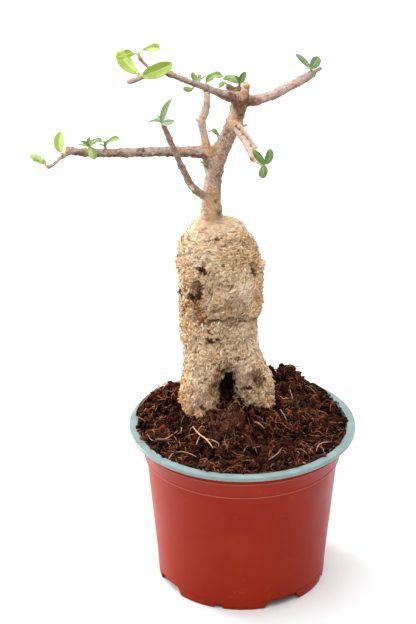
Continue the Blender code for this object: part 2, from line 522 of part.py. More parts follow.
def drain_holes(cutters):
    group = bpy.data.collections.new("drain_holes")
    cutters.children.link(group)
    for angle in CHANNEL_ANGLES:
        turn = math.radians(angle - 90.0)
        bm = bmesh.new()
        bmesh.ops.create_cone(bm, cap_ends=True, segments=12, radius1=DRAIN_HOLE_RADIUS,
                              radius2=DRAIN_HOLE_RADIUS, depth=6.0)
        middle = Vector((math.cos(turn) * DRAIN_HOLE_DISTANCE, math.sin(turn) * DRAIN_HOLE_DISTANCE,
                         CHANNEL_HEIGHT + WALL / 2.0))
        bmesh.ops.translate(bm, verts=bm.verts, vec=middle)
        object_from_bmesh("drain_hole", bm, group)
    return group


def build_pot(parts, cutters):
    pot = turned("pot", pot_outside(), parts)
    above = RIM_HEIGHT + 5.0
    mouth = RIM_INNER_RADIUS + RIM_EDGE
    hollow = turned("pot_hollow", [(0.0, above), (mouth, above), (mouth, RIM_HEIGHT)] + pot_inside(), cutters)
    boolean(hollow, "DIFFERENCE", channel_blocks("channel_walls", WALL, cutters))
    boolean(pot, "DIFFERENCE", hollow)
    boolean(pot, "DIFFERENCE", channel_blocks("channels", 0.0, cutters))
    boolean(pot, "DIFFERENCE", drain_holes(cutters))
    finish(pot, make_material("pot_plastic"))
    return pot


# Soil

def soil_height(x, y):
    """Mound of the soil: level with the rim in front, banked round the legs and behind them."""
    height = SOIL_LEVEL
    for mound_x, mound_y, spread_x, spread_y, rise in SOIL_MOUNDS:
        height += rise * math.exp(-((x - mound_x) / spread_x) ** 2 - ((y - mound_y) / spread_y) ** 2)
    radius = math.hypot(x, y)
    edge = smoothstep(48.0, 61.0, radius)
    height = mix(height, min(height, 97.5), 0.75 * edge)
    lumps = noise.noise(Vector((x, y, 0.0)) / SOIL_LUMP_SIZE) + 0.5 * noise.noise(Vector((x, y, 9.0)) * 0.31)
    return height + SOIL_LUMP_HEIGHT * lumps * (1.0 - 0.7 * edge)


def raise_soil(soil):
    """Lifts the top of the turned soil to the mound, and lets it spill a little over the rim."""
    over_rim = RIM_HEIGHT + 1.5 * CLEARANCE
    for vertex in soil.data.vertices:
        x, y, z = (value / MM for value in vertex.co)
        radius = math.hypot(x, y)
        if z < SOIL_TOP_START:
            continue
        if radius < SOIL_TOP_RADII[0] + 0.1:
            vertex.co.z = soil_height(x, y) * MM
            continue
        ux, uy = x / radius, y / radius
        edge_height = soil_height(ux * SOIL_EDGE_RADIUS, uy * SOIL_EDGE_RADIUS)
        lift = smoothstep(RIM_HEIGHT - 0.4, RIM_HEIGHT + 0.4, edge_height)
        spill = smoothstep(RIM_HEIGHT + 0.4, RIM_HEIGHT + 1.6, edge_height)
        ring = round((SOIL_EDGE_RADIUS - radius) / SOIL_EDGE_STEP)
        if ring == 0:
            new_radius, new_height = SOIL_EDGE_RADIUS, mix(RIM_HEIGHT - 1.6, over_rim, lift)
        elif ring == 1:
            new_radius = mix(SOIL_EDGE_RADIUS - 0.3, SOIL_EDGE_RADIUS + SOIL_SPILL, spill)
            new_height = mix(RIM_HEIGHT - 0.9, over_rim + 0.1, lift)
        else:
            new_radius = mix(SOIL_EDGE_RADIUS - 1.0, SOIL_EDGE_RADIUS + SOIL_SPILL - 1.2, spill)
            new_height = mix(edge_height - 0.2, edge_height + 0.9, lift)
        vertex.co = Vector((ux * new_radius, uy * new_radius, new_height)) * MM


def clods(parts):
    """Flattened lumps of peat, half sunk in the mound."""
    made = []
    for x, y, radius in CLODS:
        bm = bmesh.new()
        bmesh.ops.create_icosphere(bm, subdivisions=2, radius=radius)
        for vertex in bm.verts:
            vertex.co *= 1.0 + 0.5 * noise.noise(vertex.co / radius + Vector((x, y, 0.0)))
            vertex.co.z *= CLOD_FLATTENING
        bmesh.ops.translate(bm, verts=bm.verts, vec=(x, y, soil_height(x, y)))
        made.append(object_from_bmesh("clod", bm, parts))
    return made


def build_soil(parts, cutters):
    edge = [(SOIL_EDGE_RADIUS - 2.0 * SOIL_EDGE_STEP, RIM_HEIGHT - 0.6),
            (SOIL_EDGE_RADIUS - SOIL_EDGE_STEP, RIM_HEIGHT - 1.0), (SOIL_EDGE_RADIUS, RIM_HEIGHT - 1.4)]
    top = [(0.0, SOIL_LEVEL)] + [(radius, SOIL_LEVEL) for radius in reversed(SOIL_TOP_RADII)]
    side = pot_inside(CLEARANCE)[1:]
    soil = baked(turned("soil_turned", top + edge + side, parts), "soil_body", parts)
    raise_soil(soil)
    soil = united("soil_filled", [soil] + clods(parts), parts)
    soil.name = "soil"
    boolean(soil, "DIFFERENCE", channel_blocks("soil_channels", WALL + CLEARANCE, cutters))
    sockets = bpy.data.collections.new("leg_sockets")
    cutters.children.link(sockets)
    for sections in (LEFT_LEG_SECTIONS, RIGHT_LEG_SECTIONS):
        below_top = [section for section in sections if section[0] < SOCKET_TOP]
        loft("leg_socket", below_top, LEG_SIDES, sockets, grow=SOCKET_GAP)
    boolean(soil, "DIFFERENCE", sockets)
    wall = bpy.data.collections.new("back_wall_socket")
    cutters.children.link(wall)
    loft("back_wall_socket", BACK_WALL_SECTIONS[1:], BACK_WALL_SIDES, wall, grow=SOCKET_GAP)
    boolean(soil, "DIFFERENCE", wall)
    finish(soil, make_material("soil"))
    return soil


# Caudex and branches

def bark_relief(point):
    """Radial lumps of the bark, fading out where the legs go into the soil."""
    lumps = noise.noise(point / BARK_LUMP_SIZE) + 0.6 * noise.noise(point * 2.3 / BARK_LUMP_SIZE)
    return BARK_LUMP * lumps * smoothstep(BARK_FADE_BOTTOM, BARK_FADE_TOP, point.z)


def loft(name, sections, sides, collection, grow=0.0, relief=None):
    """Closed body through level oval sections, grown outwards or given a relief."""
    bm = bmesh.new()
    rings = []
    for height, left, right, front, back in sections:
        middle = Vector(((left + right) / 2.0, (front + back) / 2.0, height))
        half_x = (right - left) / 2.0 + grow
        half_y = (back - front) / 2.0 + grow
        if grow and height == sections[-1][0]:
            middle.z -= grow
        ring = []
        for i in range(sides):
            turn = 2.0 * math.pi * i / sides
            out = Vector((math.cos(turn), math.sin(turn), 0.0))
            point = middle + Vector((out.x * half_x, out.y * half_y, 0.0))
            if relief:
                point += out * relief(point)
            ring.append(bm.verts.new(point))
        rings.append(ring)
    for upper, lower in zip(rings, rings[1:]):
        for i in range(sides):
            j = (i + 1) % sides
            bm.faces.new((upper[i], lower[i], lower[j], upper[j]))
    bm.faces.new(rings[0])
    bm.faces.new(list(reversed(rings[-1])))
    return object_from_bmesh(name, bm, collection)


def smooth_path(points, step):
    """Catmull-Rom curve through (x, y, z, radius) points, sampled about every step."""
    dense = []
    padded = [points[0]] + list(points) + [points[-1]]
    for a, b, c, d in zip(padded, padded[1:], padded[2:], padded[3:]):
        length = math.dist(b[:3], c[:3])
        count = max(1, round(length / step))
        for k in range(count):
            t = k / count
            dense.append(tuple(
                0.5 * (2.0 * q + (r - p) * t + (2.0 * p - 5.0 * q + 4.0 * r - s) * t * t
                       + (3.0 * q - p - 3.0 * r + s) * t ** 3)
                for p, q, r, s in zip(a, b, c, d)))
    dense.append(tuple(points[-1]))
    return dense


def tube(name, points, collection, resolution=2):
    """Round stem along (x, y, z, radius) points, with flat closed ends, as a mesh."""
    curve = bpy.data.curves.new(name, "CURVE")
    curve.dimensions = "3D"
    curve.bevel_depth = MM
    curve.bevel_resolution = resolution
    curve.use_fill_caps = True
    spline = curve.splines.new("POLY")
    spline.points.add(len(points) - 1)
    for point, (x, y, z, radius) in zip(spline.points, points):
        point.co = (x * MM, y * MM, z * MM, 1.0)
        point.radius = radius
    stem = bpy.data.objects.new(name + "_curve", curve)
    collection.objects.link(stem)
    return baked(stem, name, collection)


def along(path):
    """Distance from the start to each point of a path."""
    total = 0.0
    distances = [0.0]
    for a, b in zip(path, path[1:]):
        total += math.dist(a[:3], b[:3])
        distances.append(total)
    return distances


def branch(name, parts):
    """Stem with a slight swelling at each leaf node and an uneven bark."""
    path = smooth_path(BRANCHES[name], PATH_STEP)
    swollen = []
    for distance, (x, y, z, radius) in zip(along(path), path):
        off_node = abs((distance / NODE_SPACING + 0.5) % 1.0 - 0.5)
        swelling = NODE_SWELLING * max(0.0, 1.0 - off_node * 4.0)
        uneven = 0.05 * noise.noise(Vector((x, y, z)) * 0.35)
        swollen.append((x, y, z, radius * (1.0 + swelling + uneven)))
    return tube(name, swollen, parts, 3 if name in STOUT else 1 if name in SLIM else 2)


def leaf_scars(name, parts):
    """Small nubs in opposite pairs at the leaf nodes, each pair a quarter turn from the last."""
    path = smooth_path(BRANCHES[name], 1.0)
    distances = along(path)
    made = []
    node = 1
    while node * NODE_SPACING < distances[-1] - 4.0:
        index = next(i for i, d in enumerate(distances) if d >= node * NODE_SPACING)
        place = Vector(path[index][:3])
        heading = (Vector(path[index + 1][:3]) - place).normalized()
        reference = Vector((0.0, 0.0, 1.0) if abs(heading.z) < 0.8 else (0.0, 1.0, 0.0))
        across = heading.cross(reference).normalized()
        above = across.cross(heading)
        for side in (1.0, -1.0):
            out = (across if node % 2 else above) * side
            bark = path[index][3]
            inner, outer = place + out * (bark - 1.0), place + out * (bark + SCAR_RISE)
            ends = [(*inner, SCAR_RADIUS * 1.5), (*outer, SCAR_RADIUS * 0.6)]
            made.append(tube("leaf_scar", ends, parts, 0))
        node += 1
    return made


def seat_cushion(name, sprig, parts):
    """Short stub of wood that carries a sprig, flat on top."""
    rise = Vector(sprig.rise).normalized()
    top = Vector(sprig.seat)
    depth = SEAT_DEPTH.get(name, SEAT_DEPTH["default"])
    root = top - rise * depth
    return tube(name + "_seat", [(*root, sprig.hub_radius * 1.5), (*top, sprig.hub_radius * 1.1)], parts, 1)


def build_wood(parts):
    pieces = [
        loft("body", BODY_SECTIONS, BODY_SIDES, parts, relief=bark_relief),
        loft("left_leg", LEFT_LEG_SECTIONS, LEG_SIDES, parts, relief=bark_relief),
        loft("right_leg", RIGHT_LEG_SECTIONS, LEG_SIDES, parts, relief=bark_relief),
        loft("back_wall", BACK_WALL_SECTIONS, BACK_WALL_SIDES, parts),
    ]
    for name in BRANCHES:
        pieces.append(branch(name, parts))
    for name in SCARRED:
        pieces.extend(leaf_scars(name, parts))
    for name, sprig in SPRIGS.items():
        pieces.append(seat_cushion(name, sprig, parts))
    wood = united("caudex_and_branches", pieces, parts)
    finish(wood, make_material("bark"))
    return wood


# Leaves

def blade(leaf, parts):
    """Thin folded blade along its midrib, its two faces split into triangles alike."""
    base, middle, tip = Vector(leaf.base), Vector(leaf.middle), Vector(leaf.tip)
    control = 2.0 * middle - (base + tip) / 2.0
    facing = Vector(leaf.facing).normalized()
    skew, fullness = leaf.outline
    fold = math.radians(leaf.fold)
    stations = SMALL_BLADE_STATIONS if (tip - base).length < SMALL_LEAF else BLADE_STATIONS
    bm = bmesh.new()
    rows = []
    for i in range(stations + 1):
        t = i / stations
        centre = base * (1 - t) ** 2 + control * 2 * t * (1 - t) + tip * t * t
        heading = ((control - base) * (1 - t) + (tip - control) * t).normalized()
        side = heading.cross(facing).normalized()
        above = side.cross(heading)
        bulge = math.sin(math.pi * t ** skew) ** fullness
        half = max(STALK_RADIUS * (1.0 - t), leaf.width / 2.0 * bulge, BLADE_TIP)
        row = [bm.verts.new(centre)]
        for sign in (-1.0, 1.0):
            ripple = leaf.wave * math.sin(2.0 * math.pi * 1.6 * t + sign) * min(1.0, half)
            row.append(bm.verts.new(centre + side * sign * half * math.cos(fold)
                                    + above * (half * math.sin(fold) + ripple)))
        rows.append(row)
    for near, far in zip(rows, rows[1:]):
        bm.faces.new((near[0], far[0], far[1], near[1]))
        bm.faces.new((near[2], far[2], far[0], near[0]))
    bmesh.ops.triangulate(bm, faces=bm.faces)
    surface = object_from_bmesh("blade_surface", bm, parts)
    solidify = surface.modifiers.new("Thickness", "SOLIDIFY")
    solidify.thickness = BLADE_THICKNESS * MM
    solidify.offset = 0.0
    return baked(surface, "blade", parts)


def build_sprig(name, materials, parts):
    """Short shoot with a stalk and a blade for each leaf, joined in one body."""
    sprig = SPRIGS[name]
    rise = Vector(sprig.rise).normalized()
    foot = Vector(sprig.seat) + rise * CLEARANCE
    crown = foot + rise * sprig.hub_length
    pieces = [tube("shoot", [(*foot, sprig.hub_radius), (*crown, sprig.hub_radius * 0.8)], parts, 1)]
    for leaf in sprig.leaves:
        base, middle = Vector(leaf.base), Vector(leaf.middle)
        into_blade = base.lerp(middle, 0.25)
        start = crown - rise * sprig.hub_length * 0.4
        pieces.append(tube("stalk", [(*start, STALK_RADIUS), (*into_blade, STALK_RADIUS * 0.7)], parts, 0))
        pieces.append(blade(leaf, parts))
    built = united(name, pieces, parts)
    finish(built, materials[sprig.material])
    return built


def main():
    clear_scene()
    parts = new_collection(PART_NAME)
    cutters = new_collection("cutters")
    build_wood(parts)
    leaf_materials = {name: make_material(name) for name in MATERIALS if name.startswith("leaf")}
    for name in SPRIGS:
        build_sprig(name, leaf_materials, parts)
    build_soil(parts, cutters)
    build_pot(parts, cutters)
    mark_cutters(cutters)


main()
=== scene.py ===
"""Looks of the Fockea edulis bonsai in its nursery pot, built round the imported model.

Sizes and places are in millimetres in the model's own frame, and become metres as each mesh is made.
The front is towards -Y, the right is towards +X and +Z is up.
"""

import itertools
import math
from collections import namedtuple

import bmesh
import bpy
import numpy as np
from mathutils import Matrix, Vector
from mathutils.kdtree import KDTree


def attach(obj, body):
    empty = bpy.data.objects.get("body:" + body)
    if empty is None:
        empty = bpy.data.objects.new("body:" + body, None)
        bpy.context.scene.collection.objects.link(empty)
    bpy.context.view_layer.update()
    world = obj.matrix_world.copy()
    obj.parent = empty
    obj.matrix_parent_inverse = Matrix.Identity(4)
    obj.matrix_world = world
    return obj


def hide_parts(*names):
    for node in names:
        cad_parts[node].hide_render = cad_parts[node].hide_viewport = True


MM = 0.001
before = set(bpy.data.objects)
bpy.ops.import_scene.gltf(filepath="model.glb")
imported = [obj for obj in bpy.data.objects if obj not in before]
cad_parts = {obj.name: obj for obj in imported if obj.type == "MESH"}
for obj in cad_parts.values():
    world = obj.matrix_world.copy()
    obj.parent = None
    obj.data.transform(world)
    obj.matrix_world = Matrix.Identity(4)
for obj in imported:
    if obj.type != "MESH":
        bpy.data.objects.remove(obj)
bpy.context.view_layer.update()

# Camera: the photograph's own place, and its tilt below the level in degrees
CAMERA_PLACE = (-19.65, -1315.06, 802.88)
CAMERA_TILT = 25.824
CAMERA_LENS = 150.0
SENSOR_WIDTH = 36.0

# Pot, with single points of its profile as (radius, height)
RIM_RADIUS = 65.0
RIM_HEIGHT = 96.0
RIM_INNER_RADIUS = 59.7
LIP_HEIGHT = 2.4
LIP_THICKNESS = 1.2
FLANGE_THICKNESS = 1.3
COLLAR_TOP_RADIUS = 60.6
COLLAR_LINE = (60.0, 89.0)
COLLAR_FOOT = (56.0, 78.0)
BEAD = 0.5
WALL_TOP_RADIUS = 55.1
FOOT_LINE = (48.4, 5.7)
BASE_RADIUS = 48.2
WALL = 1.2
EDGE = 0.6
MOULDED_STEP = 0.35
POT_SIDES = 176
SHARP_ANGLE = 38.0

# Channels and notches of the base as (half width, height, slant, inner radius), and their holes
CHANNEL = (11.8, 5.2, 2.6, 22.0)
CHANNEL_ANGLES = (29.25, 119.25, 209.25, 299.25)
NOTCH = (3.1, 3.0, 1.4, 41.0)
NOTCH_ANGLES = (-16.5, 73.5, 163.5, 253.5)
DRAIN_HOLE_RADIUS = 3.5
DRAIN_HOLE_DISTANCE = 37.0
DRAIN_HOLE_BOTTOM = 2.8
DRAIN_HOLE_TOP = 8.8

# Soil: its sizes, the band where it levels out towards the rim, and how much lies on it
SOIL_LEVEL = 95.4
SOIL_RADIUS = 59.3
SOIL_FLOOR = 7.2
SOIL_GRID = 250
SOIL_SPILL = 2.8
SPILL_LEVELS = (96.4, 97.6)
EDGE_BAND = (48.0, 61.0)
EDGE_LEVEL = 97.5
CRUMB_COUNT = 1500
CRUMB_REACH = 60.6
COARSE_CRUMBS = (24.0, 44.0, 14.0, 8.0)
COIR_COUNT = 3600
STRAW_COUNT = 60
STRAW_STEPS = 9
STRAW_INSIDE = 58.0
FIBRE_REACH = 58.6
FIBRE_LIMIT = 60.0
# Mounds as (x, y, spread in x, spread in y, height)
SOIL_MOUNDS = (
    (-5.0, 4.0, 32.0, 27.0, 14.5),
    (-5.0, -5.0, 14.0, 9.0, 5.0),
    (22.0, 42.0, 20.0, 16.0, 12.6),
    (-47.0, 28.0, 18.0, 16.0, 8.0),
    (-7.0, 8.0, 4.5, 9.0, -5.5),
    (-11.0, -4.0, 6.0, 6.0, -4.6),
    (-30.0, -9.0, 8.0, 5.0, -2.2),
)
# Smooth patches, and hollows that the peat's painted shade of low relief darkens, as (x, y, spread in x,
# spread in y, strength or depth)
SOIL_PATCHES = (
    (-12.0, -15.0, 10.0, 7.0, 1.0), (26.0, 20.0, 7.0, 6.0, 0.5), (44.0, 4.0, 7.0, 7.0, 0.4),
    (-48.0, -14.0, 6.0, 5.0, 0.35), (12.0, -26.0, 7.0, 4.0, 0.4), (-30.0, -46.0, 8.0, 3.0, 0.3),
)
SOIL_HOLLOWS = (
    (-45.0, 10.0, 6.0, 7.0, 3.4), (-34.0, 3.0, 5.0, 4.0, 2.0), (28.0, -20.0, 7.0, 5.0, 3.4),
    (-20.0, -42.0, 7.0, 4.0, 2.8), (5.0, -47.0, 6.0, 4.0, 2.6), (8.0, -8.5, 8.0, 2.6, 2.6),
    (38.0, -30.0, 6.0, 4.0, 2.4), (56.5, 2.0, 2.4, 14.0, 3.4), (-57.0, -4.0, 2.2, 12.0, 2.8),
    (-27.0, -17.0, 4.0, 4.0, 2.4), (-3.0, -36.0, 5.0, 3.0, 2.2), (24.0, 33.0, 6.0, 4.0, 2.4),
    (-36.0, -28.0, 6.0, 3.0, 2.2), (18.0, 8.0, 4.0, 3.0, 1.8),
)
# Clods as (x, y, height above the mound, half width), and single straws as (radius, tone, points)
CLODS = (
    (16.4, 42.0, 1.4, 3.0), (26.8, 44.0, 1.2, 3.3), (34.5, 40.0, 0.6, 2.6), (13.0, 47.0, -0.2, 3.0),
    (41.0, 32.0, 0.2, 2.4), (44.0, 18.0, 0.0, 2.6), (-50.0, 20.0, 0.4, 3.0), (-42.0, 33.0, 0.6, 2.8),
    (-12.0, -38.0, -0.3, 3.2), (22.0, 36.0, 0.2, 2.4), (30.0, 30.0, -0.2, 2.2), (-33.0, -30.0, -0.3, 2.6),
    (30.0, -34.0, -0.4, 2.8), (48.0, -8.0, -0.2, 2.4), (-46.0, -14.0, -0.2, 2.6), (6.0, -48.0, -0.6, 2.4),
)
STRAWS = (
    (0.24, 0.8, ((-24.2, -25.5, 101.0), (-25.0, -27.0, 100.2), (-25.6, -28.5, 99.4), (-26.2, -31.0, 98.4))),
    (0.3, 0.9, ((-20.6, -28.4, 100.8), (-18.6, -28.2, 100.4), (-16.0, -29.0, 99.8), (-13.2, -31.0, 99.0))),
    (0.3, 0.35, ((-59.0, 13.0, 99.6), (-56.0, 20.0, 100.6), (-51.0, 28.0, 101.8), (-44.0, 36.0, 102.6))),
    (0.26, 0.55, ((-56.0, 22.0, 100.8), (-52.0, 26.0, 102.0), (-48.0, 33.0, 102.8), (-40.0, 39.0, 103.2))),
    (0.3, 0.1, ((26.0, 43.0, 110.2), (30.0, 43.4, 110.4), (34.0, 44.0, 109.6), (37.0, 44.0, 108.8))),
    (0.42, 1.0, ((-28.2, -18.5, 103.4), (-25.0, -24.0, 101.9), (-20.2, -29.2, 100.6), (-16.8, -35.4, 98.8))),
    (0.24, 0.5, ((-20.8, -30.0, 97.4), (-17.4, -28.6, 98.0), (-14.0, -29.0, 97.6), (-13.4, -36.0, 97.0))),
    (0.32, 0.55, ((-49.6, -23.4, 98.0), (-43.9, -22.5, 97.6), (-40.0, -19.0, 98.2), (-36.7, -14.0, 98.4))),
    (0.15, 0.6, ((-54.0, -24.5, 96.8), (-57.0, -23.8, 96.7), (-62.0, -23.0, 96.4), (-69.0, -22.4, 96.4))),
    (0.28, 0.75, ((27.6, 30.0, 102.6), (28.4, 26.0, 102.4), (29.0, 23.0, 101.6), (29.6, 20.0, 100.4))),
    (0.26, 0.95, ((20.9, 20.7, 101.4), (23.4, 20.0, 101.0), (25.6, 20.6, 100.2), (27.9, 20.0, 99.4))),
    (0.4, 0.7, ((7.1, -10.0, 99.8), (9.8, -11.2, 99.2), (12.6, -11.6, 98.4), (15.6, -12.0, 97.6))),
    (0.38, 0.5, ((5.3, -12.0, 98.2), (7.6, -14.4, 98.0), (10.4, -15.8, 97.2), (13.3, -17.4, 96.6))),
    (0.26, 0.6, ((14.0, -46.0, 97.0), (17.5, -42.5, 97.8), (19.6, -39.0, 97.6), (21.0, -34.0, 97.4))),
    (0.3, 0.45, ((-38.0, -37.0, 97.0), (-33.6, -37.6, 97.6), (-29.8, -39.4, 97.4), (-26.0, -42.0, 96.8))),
    (0.22, 0.65, ((-9.0, -19.0, 99.4), (-9.6, -23.0, 99.2), (-10.4, -27.0, 98.2), (-9.4, -31.0, 97.4))),
    (0.24, 0.8, ((41.0, -36.0, 97.0), (42.6, -30.0, 97.8), (46.0, -26.0, 97.4), (50.0, -24.6, 96.8))),
)
# Feet of the two legs as (x, y, half width, half depth)
LEG_FEET = ((-22.5, 10.8, 12.6, 19.0), (7.6, 12.6, 12.4, 16.4))

# Caudex: its axis, the heights of its shoulder crease and waist by the angle round the axis, the crease of
# the right leg by x, two raised rings, and the middle of a smooth patch
CAUDEX_AXIS = (-14.0, 12.0)
CREASE_ANGLES = (-180.0, -153.0, -115.0, -87.0, -68.0, -22.0, 0.0, 90.0, 180.0)
CREASE_HEIGHTS = (206.0, 209.0, 211.4, 212.8, 214.7, 212.3, 208.0, 206.0, 206.0)
WAIST_ANGLES = (-81.0, -59.0, -31.5, -5.0, 60.0)
WAIST_HEIGHTS = (163.9, 163.0, 160.7, 156.5, 155.0)
LEG_CREASE = ((-4.0, 3.0, 11.0), (137.2, 139.4, 141.4))
SHOULDER_RING = 205.7
WAIST_RING = 154.2
SMOOTH_PATCH = (-1.0, -7.0, 181.0)
# Height where the branches' relief begins, size of the bark's mesh, and the flakes' number and heights
BRANCH_START = 221.0
WOOD_VOXEL = 0.645
FLAKE_COUNT = 9000
FLAKE_HEIGHTS = (99.0, 217.0)


# Noise

def hashed(cell, seed):
    """Evenly spread numbers from 0 to 1, one for each whole-number cell."""
    x, y, z = (cell[..., axis].astype(np.uint32) for axis in range(3))
    value = x * np.uint32(73856093) ^ y * np.uint32(19349663) ^ z * np.uint32(83492791)
    value = value ^ np.uint32(seed * 2654435761 % 4294967296)
    value = (value ^ (value >> np.uint32(16))) * np.uint32(2146121005)
    value = (value ^ (value >> np.uint32(15))) * np.uint32(2221713035)
    return (value ^ (value >> np.uint32(16))) / 4294967295.0


def noise(points, seed=0):
    """Smooth gradient noise from about -1 to 1, with one lump to a unit."""
    cell = np.floor(points)
    part = points - cell
    cell = cell.astype(np.int64)
    blend = part ** 3 * (part * (part * 6.0 - 15.0) + 10.0)
    total = np.zeros(len(points))
    for corner in itertools.product((0, 1), repeat=3):
        corner = np.array(corner)
        weight = np.prod(np.where(corner == 1, blend, 1.0 - blend), axis=1)
        for axis in range(3):
            slope = hashed(cell + corner, seed * 3 + axis) * 2.0 - 1.0
            total += weight * slope * (part[:, axis] - corner[axis])
    return total * 1.7


def jostled(points, amount, size, seed):
    """Points pushed a little to all sides, by noise from three seeds in a row."""
    return points + amount * np.stack([noise(points / size, seed + axis) for axis in range(3)], axis=1)


def cells(points, seed=0):
    """Distance to the nearest of scattered spots, one to a unit cell, and that spot's own number."""
    cell = np.floor(points).astype(np.int64)
    nearest = np.full(len(points), 9.0)
    number = np.zeros(len(points))
    for offset in itertools.product((-1, 0, 1), repeat=3):
        there = cell + np.array(offset)
        spot = there + np.stack([hashed(there, seed * 5 + axis + 11) for axis in range(3)], axis=1)
        distance = np.linalg.norm(points - spot, axis=1)
        closer = distance < nearest
        nearest = np.where(closer, distance, nearest)
        number = np.where(closer, hashed(there, seed + 97), number)
    return nearest, number


def smoothstep(low, high, value):
    t = np.clip((value - low) / (high - low), 0.0, 1.0)
    return t * t * (3.0 - 2.0 * t)


def bell(distance, width):
    return np.exp(-(distance / width) ** 2)


# Materials

def srgb(red, green, blue):
    """Linear colour from the usual 0 to 255 numbers."""
    values = [channel / 255.0 for channel in (red, green, blue)]
    return tuple(v / 12.92 if v <= 0.04045 else ((v + 0.055) / 1.055) ** 2.4 for v in values) + (1.0,)


class Shader:
    """Short way to write the nodes of one material. Texture sizes are in millimetres.

    A colour is a node's output, or red, green and blue from 0 to 255.
    """

    def __init__(self, name, roughness, specular):
        self.material = bpy.data.materials.new(name)
        self.material.use_nodes = True
        self.tree = self.material.node_tree
        self.surface = self.tree.nodes["Principled BSDF"]
        self.surface.inputs["Roughness"].default_value = roughness
        self.surface.inputs["Specular IOR Level"].default_value = specular
        self.place = self.add("ShaderNodeTexCoord").outputs["Object"]

    def add(self, kind, inputs=None, **settings):
        node = self.tree.nodes.new(kind)
        for key, value in settings.items():
            setattr(node, key, value)
        for key, value in (inputs or {}).items():
            self.feed(node.inputs[key], value)
        return node

    def feed(self, socket, value):
        if isinstance(value, bpy.types.NodeSocket):
            self.tree.links.new(value, socket)
        elif socket.type == "RGBA":
            socket.default_value = srgb(*value)
        else:
            socket.default_value = value

    def attribute(self, name):
        return self.add("ShaderNodeAttribute", attribute_name=name).outputs["Fac"]

    def noise(self, size, detail=3.0, roughness=0.55, distortion=0.0, stretch=None):
        place = self.place
        if stretch:
            place = self.add("ShaderNodeMapping", {"Vector": place, "Scale": stretch}).outputs["Vector"]
        inputs = {"Vector": place, "Scale": 1.0 / (size * MM), "Detail": detail, "Roughness": roughness,
                  "Distortion": distortion}
        return self.add("ShaderNodeTexNoise", inputs).outputs["Fac"]

    def cells(self, size):
        inputs = {"Vector": self.place, "Scale": 1.0 / (size * MM)}
        return self.add("ShaderNodeTexVoronoi", inputs).outputs["Distance"]

    def math(self, operation, a, b=0.0, clamp=False):
        node = self.add("ShaderNodeMath", operation=operation, use_clamp=clamp)
        self.feed(node.inputs[0], a)
        self.feed(node.inputs[1], b)
        return node.outputs[0]

    def times(self, a, b):
        return self.math("MULTIPLY", a, b)

    def range(self, value, low, high, to_low=0.0, to_high=1.0):
        inputs = {"Value": value, "From Min": low, "From Max": high, "To Min": to_low, "To Max": to_high}
        node = self.add("ShaderNodeMapRange", inputs, interpolation_type="SMOOTHSTEP")
        return node.outputs["Result"]

    def mix(self, factor, a, b):
        node = self.add("ShaderNodeMix", data_type="RGBA")
        self.feed(node.inputs["Factor"], factor)
        colours = [socket for socket in node.inputs if socket.type == "RGBA"]
        self.feed(colours[0], a)
        self.feed(colours[1], b)
        return [socket for socket in node.outputs if socket.type == "RGBA"][0]

    def over(self, below, mask, paint, share=1.0):
        """Colour with a paint laid over it where the mask is 1, by no more than the share."""
        return self.mix(mask if share == 1.0 else self.times(mask, share), below, paint)

    def colour(self, value):
        self.feed(self.surface.inputs["Base Color"], value)

    def roughen(self, value):
        self.feed(self.surface.inputs["Roughness"], value)

    def bump(self, height, depth, strength=1.0):
        inputs = {"Height": height, "Distance": depth * MM, "Strength": strength}
        self.feed(self.surface.inputs["Normal"], self.add("ShaderNodeBump", inputs).outputs["Normal"])


def red_plastic():
    s = Shader("pot_red_plastic", 0.34, 0.125)
    clouds = s.noise(26.0, 4.0)
    scuffs = s.range(s.noise(2.6, 5.0, 0.7, stretch=(0.35, 0.35, 1.0)), 0.62, 0.74)
    dust = s.range(s.cells(3.4), 0.09, 0.02)
    smudges = s.range(s.cells(13.0), 0.075, 0.03)
    colour = s.mix(s.range(clouds, 0.35, 0.7), (142, 26, 0), (148, 32, 2))
    colour = s.over(colour, scuffs, (205, 120, 100), 0.22)
    colour = s.over(colour, dust, (120, 70, 55), 0.5)
    colour = s.over(colour, smudges, (104, 44, 30), 0.55)
    # Painted highlight along the crests of the two collar beads
    s.colour(s.over(colour, s.attribute("bead_highlight"), (206, 110, 88), 0.5))
    s.roughen(s.range(clouds, 0.3, 0.75, 0.33, 0.46))
    s.bump(s.noise(4.0, 4.0), 0.05, 0.5)
    return s.material


def teal_plastic():
    s = Shader("pot_teal_plastic", 0.38, 0.4)
    clouds = s.noise(9.0, 5.0, 0.65)
    dirt = s.range(s.noise(1.6, 5.0, 0.7), 0.6, 0.78)
    colour = s.mix(s.range(clouds, 0.3, 0.75), (118, 140, 139), (138, 160, 158))
    s.colour(s.over(colour, dirt, (112, 112, 98), 0.35))
    s.bump(s.noise(1.2, 4.0), 0.05, 0.6)
    return s.material


def peat():
    s = Shader("peat", 1.0, 0.0)
    broad = s.noise(4.5, 6.0, 0.72)
    fine = s.noise(1.3, 4.0, 0.75, distortion=0.8)
    colour = s.mix(s.range(broad, 0.42, 0.62), (14, 4, 3), (80, 40, 27))
    colour = s.over(colour, s.range(fine, 0.57, 0.66, 0.0, 0.85), (150, 88, 60))
    colour = s.over(colour, s.range(fine, 0.47, 0.38, 0.0, 0.85), (16, 7, 7))
    # Painted shade in the low places of the soil's relief
    colour = s.over(colour, s.range(s.attribute("relief"), 0.62, 0.3), (9, 4, 4))
    earthy = s.mix(s.range(fine, 0.4, 0.6), (104, 64, 50), (146, 98, 76))
    s.colour(s.over(colour, s.attribute("patch"), earthy, 0.85))
    s.bump(s.noise(0.6, 5.0, 0.7), 0.6)
    return s.material


